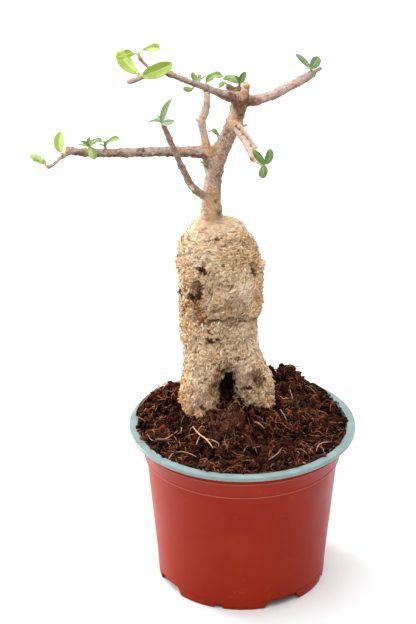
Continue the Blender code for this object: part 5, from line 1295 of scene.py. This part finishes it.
def caudex_surface(points, lines):
    """Outward move and colour numbers of the caudex and its two legs."""
    x, y, z = points.T
    line_rise, line_shade = lines
    angle = np.degrees(np.arctan2(y - CAUDEX_AXIS[1], x - CAUDEX_AXIS[0]))
    crease = crease_distance(points, angle, (CREASE_ANGLES, CREASE_HEIGHTS), 0.5, 3.0, 41)
    dome = smoothstep(-0.6, 1.2, crease)
    bent = jostled(points, 1.1, 4.0, 42)
    ridges = 1.0 - 2.2 * np.abs(noise(bent / np.array([1.5, 1.5, 3.2]), 45))
    slanted = (bent + np.stack([-0.55 * z, z * 0.0, 0.35 * x], axis=1)) / np.array([1.0, 1.3, 1.9])
    cords = 1.0 - 2.2 * np.abs(noise(slanted, 46))
    level = 1.0 - 2.2 * np.abs(noise(bent / np.array([3.4, 3.4, 1.15]), 52))
    wart, wart_number = cells(bent / np.array([1.9, 1.9, 2.5]), 47)
    warts = smoothstep(0.62, 0.12, wart) * (0.25 + 0.75 * wart_number)
    right = smoothstep(-8.0, 6.0, x) * smoothstep(160.0, 176.0, z)
    wrinkled = smoothstep(186.0, 200.0, z + 4.0 * noise(points / 12.0, 53))
    from_patch = (points - np.array(SMOOTH_PATCH)) / np.array([1.0, 1.0, 1.5])
    smooth_patch = bell(np.linalg.norm(from_patch, axis=1), 7.0)
    texture = 0.6 * ridges * (1.0 - 0.5 * right) * (1.0 - 0.6 * wrinkled) + 0.45 * cords * right
    texture += 0.6 * level * wrinkled + 0.8 * warts + 0.4 * noise(bent / 0.9, 48) - 0.45
    strength = 1.15 * (1.0 - 0.66 * dome) * (1.0 + 0.3 * right) * (1.0 - 0.35 * smooth_patch)
    broken = 0.45 + 0.55 * smoothstep(-0.3, 0.3, noise(points / 2.6, 54))
    behind = smoothstep(2.0, 8.0, y)
    waist = crease_distance(points, angle, (WAIST_ANGLES, WAIST_HEIGHTS), 0.8, 3.0, 51)
    on_waist = smoothstep(-92.0, -72.0, angle) * smoothstep(80.0, 40.0, angle)
    leg_crease = crease_distance(points, x, LEG_CREASE, 0.5, 2.0, 55)
    on_leg = smoothstep(-5.0, -2.0, x) * smoothstep(8.0, 2.0, y)
    move = strength * texture + 1.0 * noise(points / 9.0, 49) + 0.6 * noise(points / 4.5, 50)
    move += 0.55 * bell(z - SHOULDER_RING, 1.1) + 0.65 * bell(z - WAIST_RING, 1.3)
    move += -0.75 * broken * bell(crease, 0.6) * behind + 0.4 * bell(crease + 1.6, 1.2)
    fold = 0.5 * bell(waist - 1.8, 1.6) + 1.1 * bell(waist - 7.0, 5.0) - 0.7 * bell(waist + 2.0, 3.0)
    move += on_waist * fold
    move += on_leg * (-0.6 * bell(leg_crease, 0.5) + 0.4 * bell(leg_crease + 1.4, 1.0))
    move = (move + line_rise) * smoothstep(96.0, 101.0, z)
    for *place, radius, rise in KNOBS:
        move += rise * bell(np.linalg.norm(points - np.array(place), axis=1), radius)
    # Painted shade in the shoulder crease behind and in the crease of the right leg
    dark = broken * np.maximum(0.8 * behind * bell(crease, 0.5), 0.7 * on_leg * bell(leg_crease, 0.45))
    dark *= smoothstep(219.0, 216.0, z)
    edges = smoothstep(-6.0, 8.0, x) * smoothstep(150.0, 162.0, z) + smoothstep(-27.0, -34.0, x)
    foot = smoothstep(116.0, 100.0, z) + 0.6 * smoothstep(134.0, 118.0, z)
    warm = 0.28 * edges + 0.3 * foot + 0.12 * wrinkled + 0.35 * noise(points / 6.0, 56) - 0.4 * smooth_patch
    return {
        "move": move, "relief": np.clip(0.5 + 0.42 * texture, 0.0, 1.0), "dome": dome,
        "warm": np.clip(warm, 0.0, 1.0), "crease_shade": np.maximum(dark, line_shade),
    }


def branch_surface(points, rows):
    """Outward move and colour numbers of the trunk and branches, from each point's row of the guide."""
    centre, radius, heading = rows[:, :3], rows[:, 3], rows[:, 4:7]
    start, tint, to_end, fresh = rows[:, 7:].T
    off = points - centre
    past = np.sum(off * heading, axis=1)
    along = start + past
    across = off - heading * past[:, None]
    side = unit(np.stack([heading[:, 1], -heading[:, 0], np.full(len(rows), 0.05)], axis=1))
    upward = np.cross(heading, side)
    turn = np.arctan2(np.sum(across * upward, axis=1), np.sum(across * side, axis=1))
    wrapped = [np.cos(turn) * radius / 0.8, np.sin(turn) * radius / 0.8, along / 3.4]
    grain = noise(np.stack(wrapped, axis=1), 63)
    spots, number = cells(points / 2.3, 61)
    lenticels = smoothstep(0.34, 0.12, spots) * (number > 0.55)
    thick = np.clip(radius / 3.0, 0.4, 1.5)
    rings = bell((along / 3.1 + 0.6 * noise(points / 6.0, 62)) % 1.0 - 0.5, 0.09)
    knuckles = smoothstep(0.72, 1.0, np.cos(2.0 * math.pi * (along / 6.2 + 0.4 * noise(points / 9.0, 67))))
    move = thick * (0.26 * grain + 0.34 * noise(points / 2.2, 64) + 0.2 * knuckles)
    move += 0.3 * lenticels - 0.12 * rings
    x, y, z = points.T
    slender = smoothstep(-11.0, -17.0, x) * smoothstep(288.0, 292.0, z) * smoothstep(10.0, 6.0, y)
    cut_twig = smoothstep(-49.0, -51.0, x) * smoothstep(-9.8, -11.0, y) * slender
    move += 0.5 * cut_twig - 0.36 * slender
    move += 0.3 * bell(to_end - 1.2, 0.9) * noise(points / 1.3, 65)
    nub = smoothstep(0.3, 0.7, np.linalg.norm(across, axis=1) - radius * 1.1)
    cap = smoothstep(-0.35, 0.05, past) * (to_end < 0.9)
    return {
        "move": move, "relief": np.clip(0.5 + 0.5 * grain, 0.0, 1.0),
        "tint": np.clip(tint + 0.22 * noise(points / 5.0, 66), 0.0, 1.0),
        "nub": np.clip(0.4 * nub + 0.7 * lenticels, 0.0, 1.0), "cut": cap * (0.25 + 0.75 * fresh),
        "speck": 0.25 + 0.75 * smoothstep(3.2, 4.4, radius),
    }


def wood_skin():
    """Even fine mesh over the CAD node of the caudex and branches."""
    work = bpy.data.objects.new("wood_work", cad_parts["caudex_and_branches"].data.copy())
    bpy.context.scene.collection.objects.link(work)
    weld = work.modifiers.new("Weld", "WELD")
    weld.merge_threshold = 0.002 * MM
    remesh = work.modifiers.new("Remesh", "REMESH")
    remesh.mode = "VOXEL"
    remesh.voxel_size = WOOD_VOXEL * MM
    smooth = work.modifiers.new("Smooth", "SMOOTH")
    smooth.factor = 0.5
    smooth.iterations = 3
    mesh = evaluated_mesh(work)
    bpy.data.objects.remove(work, do_unlink=True)
    mesh.name = "wood_skin"
    mesh.materials.clear()
    return mesh


def build_wood():
    mesh = wood_skin()
    points, normals = vertex_arrays(mesh)
    x, y, z = points.T
    upper = z > BRANCH_START - 6.0
    rows = np.zeros((len(points), 11))
    rows[upper] = nearest_rows(points[upper], branch_guide())
    share = smoothstep(BRANCH_START - 4.5, BRANCH_START - 0.5, z) * upper
    axis_reach = np.hypot(x - rows[:, 0], y - rows[:, 1])
    share *= np.where(z < BRANCH_START, smoothstep(8.4, 7.2, axis_reach), 1.0)
    lines = drawn_lines(points)
    numbers = caudex_surface(points, lines)
    branch = {}
    for key, values in branch_surface(points[upper], rows[upper]).items():
        branch[key] = np.zeros(len(points))
        branch[key][upper] = values
    for key in ("move", "relief"):
        numbers[key] = numbers[key] * (1.0 - share) + branch[key] * share
    move = numbers.pop("move") + np.where(z > 219.0, lines[0], 0.0)
    numbers.update({
        "branch": share, "tint": branch["tint"], "speck": branch["speck"],
        "nub": branch["nub"] * share, "cut": branch["cut"] * share,
        # Painted light on the upward faces of the branches
        "painted_top_light": smoothstep(0.1, 0.85, normals[:, 2] - 0.35 * normals[:, 1]) * share,
    })
    numbers.update(marks_and_tones(points))
    mesh.vertices.foreach_set("co", ((points + normals * move[:, None]) * MM).ravel())
    for key, values in numbers.items():
        set_attribute(mesh, key, values)
    mesh.shade_smooth()
    mesh.update()
    finished(linked("caudex_and_branches_bark", mesh, [bark()]), ["caudex_and_branches"])
    build_flakes(mesh, numbers)


def build_flakes(mesh, numbers):
    """Small curled flakes of bark that stand off the caudex, denser where it is rough."""
    draws = np.random.default_rng(37)
    points, normals = vertex_arrays(mesh)
    z = points[:, 2]
    weight = (z > FLAKE_HEIGHTS[0]) * (z < FLAKE_HEIGHTS[1]) * (1.0 - numbers["branch"])
    weight = weight * (1.0 - 0.8 * numbers["dome"]) * (1.0 - 0.9 * numbers["stain_and_gap_shade"])
    weight = weight * (1.0 - 0.95 * smoothstep(0.2, 0.6, numbers["crease_shade"]))
    weight = weight * (0.35 + 0.65 * smoothstep(0.3, 0.7, numbers["warm"] + 0.6 * noise(points / 5.0, 71)))
    chosen = draws.choice(len(points), FLAKE_COUNT, replace=False, p=weight / weight.sum())
    place, up = points[chosen], normals[chosen]
    at = {key: values[chosen] for key, values in numbers.items()}
    around = unit(np.cross(up, (0.0, 0.0, 1.0)))
    upright = np.cross(around, up)
    lean = draws.normal(0.0, 0.45, FLAKE_COUNT)
    lean += np.where(place[:, 2] > 195.0, 0.2, np.where(place[:, 2] > 162.0, 2.3, math.pi / 2.0))
    lean += 0.5 * noise(place / 7.0, 72)
    along = around * np.cos(lean)[:, None] + upright * np.sin(lean)[:, None]
    across = np.cross(up, along)
    shape, faces = unit_chunk(1)
    length = np.clip(draws.lognormal(-0.05, 0.45, FLAKE_COUNT), 0.45, 2.8)
    width = length * draws.uniform(0.16, 0.38, FLAKE_COUNT)
    thick = draws.uniform(0.2, 0.5, FLAKE_COUNT)
    own = shape[None] * np.stack([length, width, thick], axis=1)[:, None]
    own[:, :, 2] += 0.35 * (own[:, :, 0] ** 2) * draws.uniform(-0.3, 0.5, (FLAKE_COUNT, 1))
    own *= draws.uniform(0.8, 1.2, own.shape)
    places = place[:, None] + up[:, None] * 0.08
    for axis, direction in enumerate((along, across, up)):
        places = places + own[:, :, axis:axis + 1] * direction[:, None]
    # Flake tones follow the stains, the painted shade in the gap between the legs and between twig and
    # branch, and the painted shade and painted light of the tones
    stains_and_shade = at["stain_and_gap_shade"] + 0.6 * at["rust"] + 0.8 * at["brown"]
    shade = 0.45 * at["shaded"] - 0.2 * at["lit"] + 1.2 * at["deep"]
    tone = np.clip(draws.normal(0.76, 0.3, FLAKE_COUNT) - 0.9 * stains_and_shade - shade, 0.0, 1.0)
    warm = np.clip(at["warm"] + draws.normal(0.25, 0.3, FLAKE_COUNT), 0.0, 1.0)
    flake_mesh = mesh_from("bark_flakes", places.reshape(-1, 3),
                           repeated_faces(faces, len(shape), FLAKE_COUNT),
                           {"tone": np.repeat(tone, len(shape)), "warm": np.repeat(warm, len(shape))})
    finished(linked("bark_flakes", flake_mesh, [flakes_of_bark()]))


# Leaves

# A leaf has a midrib through three points, its full width, the side that its upper face looks to, the fold
# of each half towards that side in degrees, the wave of its margin, an outline and a tone
Leaf = namedtuple("Leaf", "base middle tip width facing fold wave outline tone")
Sprig = namedtuple("Sprig", "seat rise hub_radius hub_length slot leaves")
FRONT = (0.0, -0.92, 0.38)
UPWARD = (0.0, -0.45, 0.9)
TILTED = (0.0, -0.72, 0.7)
SIDEWAYS = (0.85, -0.5, 0.1)
OVATE = (0.85, 0.62)
OVAL = (1.0, 0.5)
ROUND = (1.04, 0.42)
LANCE = (0.75, 0.85)
SPOON = (1.4, 0.6)
PADDLE = (1.9, 0.6)
BLADE_THICKNESS = 0.42
BLADE_COLUMNS = 12
STALK_RADIUS = 0.42
SPRIG_GAP = 0.1

SPRIGS = {
    "leaf_on_drooping_twig": Sprig((-99.0, -0.2, 262.2), (-0.3, -0.25, 0.9), 0.75, 1.0, "leaf_bright", [
        Leaf((-99.9, -1.0, 263.7), (-100.7, -2.0, 270.2), (-99.0, -1.5, 276.0),
             5.9, FRONT, 10, 0.2, ROUND, 0.95),
    ]),
    "leaf_at_drooping_tip": Sprig((-107.8, -4.3, 256.9), (-0.5, -0.45, 0.75), 0.7, 0.9, "leaf_bright", [
        Leaf((-108.2, -4.9, 257.9), (-112.3, -6.5, 262.1), (-116.6, -6.0, 264.1),
             4.3, FRONT, 14, 0.6, SPOON, 0.7),
        Leaf((-108.0, -4.8, 258.0), (-108.7, -5.4, 260.2), (-109.2, -6.0, 262.4),
             1.8, FRONT, 20, 0.0, OVATE, 0.7),
    ]),
    "rosette_on_left_branch": Sprig((-84.2, 3.0, 264.5), (0.0, -0.35, 0.94), 0.9, 1.4, "leaf_green", [
        Leaf((-84.4, 1.6, 266.2), (-86.9, 0.4, 269.0), (-89.3, 0.0, 269.7), 2.0, FRONT, 25, 0.0, LANCE, 0.2),
        Leaf((-84.4, 1.2, 266.0), (-88.2, -2.0, 268.4), (-91.0, -3.0, 269.0),
             2.0, UPWARD, 20, 0.0, LANCE, 0.7),
        Leaf((-84.2, 1.8, 266.6), (-84.9, 2.0, 269.1), (-83.6, 2.2, 271.7), 2.4, FRONT, 25, 0.0, OVATE, 0.3),
        Leaf((-84.0, 1.2, 266.4), (-83.0, -1.6, 269.6), (-82.2, -3.0, 272.0), 2.6, FRONT, 15, 0.0, OVAL, 0.9),
        Leaf((-83.8, 1.2, 266.2), (-80.3, 0.0, 270.6), (-76.9, -2.0, 269.6),
             3.2, UPWARD, 10, 0.3, OVATE, 0.3),
        Leaf((-83.9, 2.0, 266.2), (-81.7, 4.4, 267.4), (-79.6, 7.6, 267.2), 2.4, UPWARD, 15, 0.0, OVATE, 0.2),
        Leaf((-83.9, 0.9, 265.6), (-82.6, -0.6, 263.2), (-82.2, -0.2, 258.9), 5.0, FRONT, 8, 0.3, OVAL, 0.9),
    ]),
    "leaf_pair_on_left_branch": Sprig((-75.8, 4.4, 264.2), (0.0, -0.3, 0.95), 0.8, 1.2, "leaf_green", [
        Leaf((-76.1, 3.4, 265.2), (-77.6, 1.6, 266.9), (-79.0, -0.4, 267.4),
             1.7, UPWARD, 20, 0.0, LANCE, 0.4),
        Leaf((-75.9, 3.6, 265.6), (-76.1, 3.2, 267.5), (-76.7, 3.0, 269.3), 1.5, FRONT, 20, 0.0, OVATE, 0.3),
        Leaf((-75.6, 3.7, 265.6), (-74.9, 4.4, 267.4), (-73.5, 5.4, 268.4), 1.9, FRONT, 15, 0.0, OVATE, 0.3),
        Leaf((-75.0, 3.4, 266.4), (-71.8, 3.0, 269.7), (-68.0, 2.0, 270.3), 3.4, FRONT, 8, 0.25, PADDLE, 1.0),
    ]),
    "leaf_pair_at_upper_left_tip": Sprig((-56.5, -7.8, 322.1), (-0.15, -0.05, 0.98), 0.9, 1.2,
                                         "leaf_bright", [
        Leaf((-55.6, -8.2, 324.4), (-50.0, -9.0, 326.7), (-45.2, -10.0, 326.6),
             5.0, TILTED, 16, 0.3, PADDLE, 0.45),
        Leaf((-57.2, -8.3, 323.1), (-63.0, -11.5, 324.3), (-68.2, -14.5, 323.0),
             5.0, TILTED, 14, 0.4, SPOON, 0.1),
    ]),
    "large_leaf_pointing_left": Sprig((-56.4, -15.7, 314.6), (-0.3, 0.25, 0.92), 0.7, 0.8, "leaf_bright", [
        Leaf((-57.1, -15.0, 315.0), (-63.4, -9.4, 318.6), (-67.5, -4.0, 324.0),
             7.4, FRONT, 12, 0.3, ROUND, 0.75),
    ]),
    "large_leaf_pointing_right": Sprig((-54.4, -17.5, 314.2), (0.15, -0.8, 0.6), 0.7, 0.8, "leaf_bright", [
        Leaf((-54.2, -18.2, 314.7), (-46.4, -20.2, 318.2), (-38.5, -19.0, 321.7),
             8.0, FRONT, 16, 0.2, ROUND, 0.3),
    ]),
    "sprig_on_front_twig": Sprig((-44.0, -20.8, 288.4), (-0.2, -0.1, 0.97), 0.85, 1.2, "leaf_grey_green", [
        Leaf((-44.3, -21.0, 289.6), (-42.5, -22.0, 297.3), (-38.4, -21.0, 303.2),
             3.6, FRONT, 14, 0.25, LANCE, 0.6),
        Leaf((-43.9, -21.6, 289.4), (-40.9, -25.4, 290.9), (-37.5, -28.0, 293.2),
             3.6, FRONT, 10, 0.0, OVATE, 0.6),
        Leaf((-44.6, -21.4, 289.2), (-48.5, -22.2, 290.4), (-52.1, -22.2, 288.6),
             2.2, UPWARD, 30, 0.0, LANCE, 0.3),
        Leaf((-44.5, -20.6, 289.6), (-45.9, -19.4, 291.4), (-47.6, -18.0, 292.8),
             1.8, SIDEWAYS, 25, 0.0, LANCE, 0.1),
        Leaf((-44.6, -20.2, 289.2), (-46.6, -16.4, 289.6), (-48.1, -13.0, 288.4),
             2.4, UPWARD, 10, 0.0, OVATE, 0.8),
    ]),
    "sprig_on_upper_left_branch": Sprig((-24.3, 0.2, 305.0), (0.0, 0.55, 0.83), 0.8, 0.9, "leaf_green", [
        Leaf((-24.6, 1.2, 305.5), (-26.9, 1.8, 306.1), (-28.1, 2.0, 309.4), 3.4, FRONT, 14, 0.0, OVAL, 0.6),
        Leaf((-24.3, 1.4, 305.8), (-24.2, 2.2, 306.5), (-23.9, 3.0, 307.6), 2.0, FRONT, 25, 0.0, OVATE, 0.2),
        Leaf((-24.0, 0.9, 305.7), (-21.9, 0.2, 307.1), (-20.1, -0.6, 310.0),
             1.5, SIDEWAYS, 15, 0.0, LANCE, 0.4),
    ]),
    "leaf_on_upright_twig": Sprig((-20.7, 24.9, 292.5), (-0.05, 0.05, 1.0), 0.8, 0.9, "leaf_green", [
        Leaf((-20.8, 25.0, 294.0), (-16.6, 24.0, 298.8), (-11.3, 22.0, 298.8),
             4.2, TILTED, 10, 0.5, OVAL, 0.5),
    ]),
    "leaf_under_upper_left_branch": Sprig((-27.6, -3.4, 302.2), (-0.35, -0.1, -0.93), 0.65, 0.7,
                                          "leaf_green", [
        Leaf((-27.9, -3.5, 301.4), (-30.6, -3.8, 301.3), (-33.0, -4.4, 302.9),
             3.1, FRONT, 16, 0.0, ROUND, 0.8),
    ]),
    "sprig_on_broken_stump": Sprig((-2.4, 17.8, 295.3), (0.05, 0.25, 0.97), 0.8, 0.8, "leaf_green", [
        Leaf((-2.2, 18.2, 296.4), (-1.0, 18.4, 299.5), (0.8, 17.8, 303.6), 3.7, FRONT, 12, 0.0, OVAL, 0.4),
        Leaf((-2.5, 17.5, 296.3), (-3.3, 16.4, 299.3), (-4.8, 15.2, 301.9),
             2.8, SIDEWAYS, 20, 0.0, OVATE, 0.0),
        Leaf((-3.0, 18.6, 296.2), (-6.8, 20.6, 298.6), (-11.6, 21.4, 297.4), 4.2, FRONT, 10, 0.4, OVATE, 0.9),
    ]),
    "small_leaf_on_broken_stump": Sprig((-9.4, 17.4, 296.2), (-0.35, 0.35, 0.86), 0.65, 0.7, "leaf_green", [
        Leaf((-9.9, 17.9, 296.8), (-12.0, 18.4, 296.0), (-13.8, 17.6, 293.9), 2.8, FRONT, 12, 0.2, OVAL, 0.6),
    ]),
    "sprig_on_right_branch": Sprig((37.0, 26.3, 301.0), (-0.05, 0.0, 1.0), 0.8, 0.8, "leaf_grey_green", [
        Leaf((36.8, 26.4, 301.9), (32.5, 27.2, 306.5), (28.3, 27.6, 310.1), 3.0, FRONT, 12, 0.15, OVAL, 0.3),
        Leaf((37.2, 26.4, 302.2), (39.3, 26.4, 305.8), (41.2, 26.6, 308.7), 5.6, FRONT, 8, 0.0, ROUND, 0.3),
        Leaf((36.8, 26.0, 301.7), (35.0, 24.6, 302.9), (33.3, 23.4, 302.6), 1.9, UPWARD, 15, 0.0, OVATE, 0.8),
        Leaf((37.2, 25.9, 301.7), (38.4, 24.4, 302.4), (39.4, 23.3, 301.6), 1.6, UPWARD, 15, 0.0, OVATE, 0.8),
    ]),
    "sprig_on_lower_right_branch": Sprig((9.8, -32.7, 269.5), (0.4, -0.85, 0.35), 0.7, 1.2, "leaf_green", [
        Leaf((10.2, -34.0, 270.4), (7.4, -36.6, 275.5), (4.2, -36.0, 279.6), 3.8, FRONT, 10, 0.0, ROUND, 0.1),
        Leaf((10.6, -33.9, 270.5), (13.0, -35.2, 275.3), (12.9, -34.0, 279.2),
             4.4, FRONT, 10, 0.0, ROUND, 0.1),
        Leaf((10.4, -34.2, 269.6), (9.8, -36.4, 267.0), (9.0, -36.4, 263.3), 4.8, FRONT, 8, 0.0, ROUND, 0.2),
    ]),
    "leaf_in_fork": Sprig((-14.0, 18.8, 262.6), (0.1, 0.4, 0.9), 0.7, 0.7, "leaf_green", [
        Leaf((-13.9, 19.2, 263.7), (-15.8, 19.0, 267.9), (-20.1, 20.6, 267.0),
             2.8, UPWARD, 12, 0.4, OVAL, 0.2),
    ]),
    "small_leaf_on_trunk": Sprig((-21.6, 6.6, 254.0), (-0.5, -0.75, 0.35), 0.5, 0.5, "leaf_green", [
        Leaf((-21.8, 5.9, 254.3), (-22.7, 4.9, 255.2), (-23.9, 4.2, 256.3), 1.2, FRONT, 15, 0.0, OVAL, 0.4),
    ]),
    "bud_on_limb": Sprig((0.5, 8.6, 275.3), (0.85, -0.45, 0.3), 0.6, 0.5, "leaf_bright", [
        Leaf((0.8, 8.4, 275.4), (1.0, 8.1, 276.0), (1.2, 7.9, 276.9), 1.5, FRONT, 20, 0.0, OVAL, 0.3),
    ]),
}
# Sprigs whose leaves are cooler green than their kind, and by how much
COOL_LEAVES = {
    "sprig_on_lower_right_branch": 0.5, "sprig_on_broken_stump": 0.7, "sprig_on_upper_left_branch": 0.1,
    "leaf_on_upright_twig": 0.4,
}


class Foliage:
    """Vertices, faces and numbers of one sprig as it grows."""

    def __init__(self):
        self.places, self.faces = [], []
        self.numbers = {"across": [], "along": [], "tone": [], "under": []}

    def add(self, places, faces, across, along, tone, under):
        start = len(self.places)
        self.places.extend(places)
        self.faces.extend(tuple(start + i for i in face) for face in faces)
        for key, value in (("across", across), ("along", along), ("tone", tone), ("under", under)):
            self.numbers[key].extend(np.broadcast_to(value, len(places)))

    def rod(self, path, tone, sides=10):
        """Round stalk along (place, radius) pairs with closed ends."""
        heading = unit(np.subtract(path[-1][0], path[0][0]))
        side = unit(np.cross(heading, (0.3, 0.9, 0.2)))
        above = np.cross(side, heading)
        places = []
        for place, radius in path:
            for k in range(sides):
                turn = 2.0 * math.pi * k / sides
                places.append(place + (side * math.cos(turn) + above * math.sin(turn)) * radius)
        self.add(places, tube_faces(0, len(path), sides), 0.5, 0.5, tone, 0.0)

    def blade(self, leaf, seed):
        """Thin closed blade with a folded midrib, arched halves and a waved margin."""
        base, middle, tip = (np.array(p, float) for p in (leaf.base, leaf.middle, leaf.tip))
        control = 2.0 * middle - (base + tip) / 2.0
        facing = unit(leaf.facing)
        skew, fullness = leaf.outline
        fold = math.radians(leaf.fold)
        stations = int(np.clip(np.linalg.norm(tip - base) * 1.9, 10, 30))
        columns = BLADE_COLUMNS
        upper, lower, across_list, along_list = [], [], [], []
        for i in range(stations + 1):
            t = i / stations
            centre = base * (1 - t) ** 2 + control * 2 * t * (1 - t) + tip * t * t
            heading = unit((control - base) * (1 - t) + (tip - control) * t)
            side = unit(np.cross(heading, facing))
            above = np.cross(side, heading)
            half = leaf.width / 2.0 * math.sin(math.pi * t ** skew) ** fullness
            half = max(STALK_RADIUS * (1.0 - t), half, 0.05)
            for j in range(columns + 1):
                s = 2.0 * j / columns - 1.0
                margin = abs(s)
                wave = 1.35 * leaf.wave * math.sin(2.0 * math.pi * 1.9 * t + math.copysign(1.0, s)
                                                   + 1.7 * seed) * margin ** 2 * min(1.0, half)
                jag = 1.0 + 0.02 * math.sin(9.0 * t + 4.0 * s + seed) * margin
                rise = half * math.sin(fold) * (1.25 * margin - 0.25 * margin ** 3) + wave
                dish = -0.05 * half * math.sin(math.pi * margin)
                place = centre + side * s * half * math.cos(fold) * jag + above * (rise + dish)
                thick = BLADE_THICKNESS / 2.0 * (1.0 - 0.62 * margin ** 3) * min(1.0, 0.45 + 3.0 * (1.0 - t))
                rib = 0.2 * math.exp(-(s * half / 0.3) ** 2) * (1.0 - t)
                upper.append(place + above * (thick - 0.35 * rib))
                lower.append(place - above * (thick + rib))
                across_list.append(s)
                along_list.append(t)
        row = columns + 1
        total = len(upper)
        faces = []
        for i in range(stations):
            for j in range(columns):
                a = i * row + j
                faces.append((a, a + 1, a + row + 1, a + row))
                faces.append((total + a, total + a + row, total + a + row + 1, total + a + 1))
            for j in (0, columns):
                a = i * row + j
                quad = (a, a + row, total + a + row, total + a)
                faces.append(quad if j == 0 else quad[::-1])
        for i in (0, stations):
            for j in range(columns):
                a = i * row + j
                quad = (a, total + a, total + a + 1, a + 1)
                faces.append(quad if i == 0 else quad[::-1])
        under = np.concatenate([np.zeros(total), np.ones(total)])
        self.add(upper + lower, faces, np.array(across_list * 2), np.array(along_list * 2), leaf.tone, under)


def build_leaves():
    materials = {
        "leaf_bright": leaf_material("leaf_bright_green", (122, 144, 4), (214, 226, 144), (220, 230, 158),
                                     0.45, 0.6, 0.4),
        "leaf_green": leaf_material("leaf_mid_green", (80, 110, 30), (184, 204, 134), (190, 204, 130),
                                    0.45, 0.5, 0.7),
        "leaf_grey_green": leaf_material("leaf_grey_green", (86, 118, 60), (172, 194, 156), (190, 206, 150),
                                         0.5, 0.4, 0.7),
    }
    for name, sprig in SPRIGS.items():
        rise, seat, hub = unit(sprig.rise), np.array(sprig.seat), sprig.hub_radius
        foot = seat - rise * SPRIG_GAP
        crown = seat + rise * (sprig.hub_length + 0.3)
        foliage = Foliage()
        foliage.rod([(foot, hub), ((foot + crown) / 2.0, hub * 1.02), (crown, hub * 0.6)], 0.4)
        for seed, leaf in enumerate(sprig.leaves):
            base, middle = np.array(leaf.base), np.array(leaf.middle)
            start = crown - rise * sprig.hub_length * 0.5
            foliage.rod([(start, STALK_RADIUS * 1.15), (base, STALK_RADIUS * 0.95),
                         (base + (middle - base) * 0.3, STALK_RADIUS * 0.45)], leaf.tone)
            foliage.blade(leaf, seed)
        foliage.numbers["cool"] = [COOL_LEAVES.get(name, 0.0)] * len(foliage.places)
        mesh = mesh_from(name + "_foliage", foliage.places, foliage.faces, foliage.numbers)
        turn_outward(mesh)
        finished(linked(name + "_foliage", mesh, [materials[sprig.slot]]), [name])


# Studio

FLOOR_SIZE = 9000.0
FLOOR_DROP = 0.05
WORLD_LIGHT = 0.36
# Soft lights as (name, place, width, power), all turned to the middle of the plant
LIGHT_TARGET = (-10.0, 10.0, 170.0)
LIGHTS = (
    ("top", (-200.0, 0.0, 1400.0), 2300.0, 42.0),
    ("behind_left", (-900.0, 620.0, 260.0), 420.0, 17.5),
    ("behind_right", (800.0, 780.0, 260.0), 420.0, 4.4),
    ("front_soft", (100.0, -1300.0, 1300.0), 900.0, 4.0),
)


def area_light(name, place, size, power):
    data = bpy.data.lights.new(name, "AREA")
    data.shape = "DISK"
    data.size = size * MM
    data.energy = power
    light = bpy.data.objects.new(name, data)
    light.location = Vector(place) * MM
    light.rotation_euler = (Vector(LIGHT_TARGET) - Vector(place)).to_track_quat("-Z", "Y").to_euler()
    bpy.context.scene.collection.objects.link(light)


def build_studio():
    bm = bmesh.new()
    bmesh.ops.create_grid(bm, x_segments=8, y_segments=8, size=FLOOR_SIZE)
    floor = solid_object("studio_floor", bm)
    floor.data.materials.append(white_floor())
    floor.location.z = -FLOOR_DROP * MM

    world = bpy.data.worlds.new("studio")
    world.use_nodes = True
    background = world.node_tree.nodes["Background"]
    background.inputs["Color"].default_value = (1.0, 1.0, 1.0, 1.0)
    background.inputs["Strength"].default_value = WORLD_LIGHT
    bpy.context.scene.world = world
    for light in LIGHTS:
        area_light(*light)

    data = bpy.data.cameras.new("camera")
    data.lens = CAMERA_LENS
    data.sensor_width = SENSOR_WIDTH
    data.clip_end = 50.0
    camera = bpy.data.objects.new("camera", data)
    camera.location = Vector(CAMERA_PLACE) * MM
    camera.rotation_euler = (math.radians(90.0 - CAMERA_TILT), 0.0, 0.0)
    bpy.context.scene.collection.objects.link(camera)
    bpy.context.scene.camera = camera
    bpy.context.scene.view_settings.view_transform = "Standard"


build_studio()
build_pot()
build_soil()
build_crumbs()
build_fibres()
build_wood()
build_leaves()
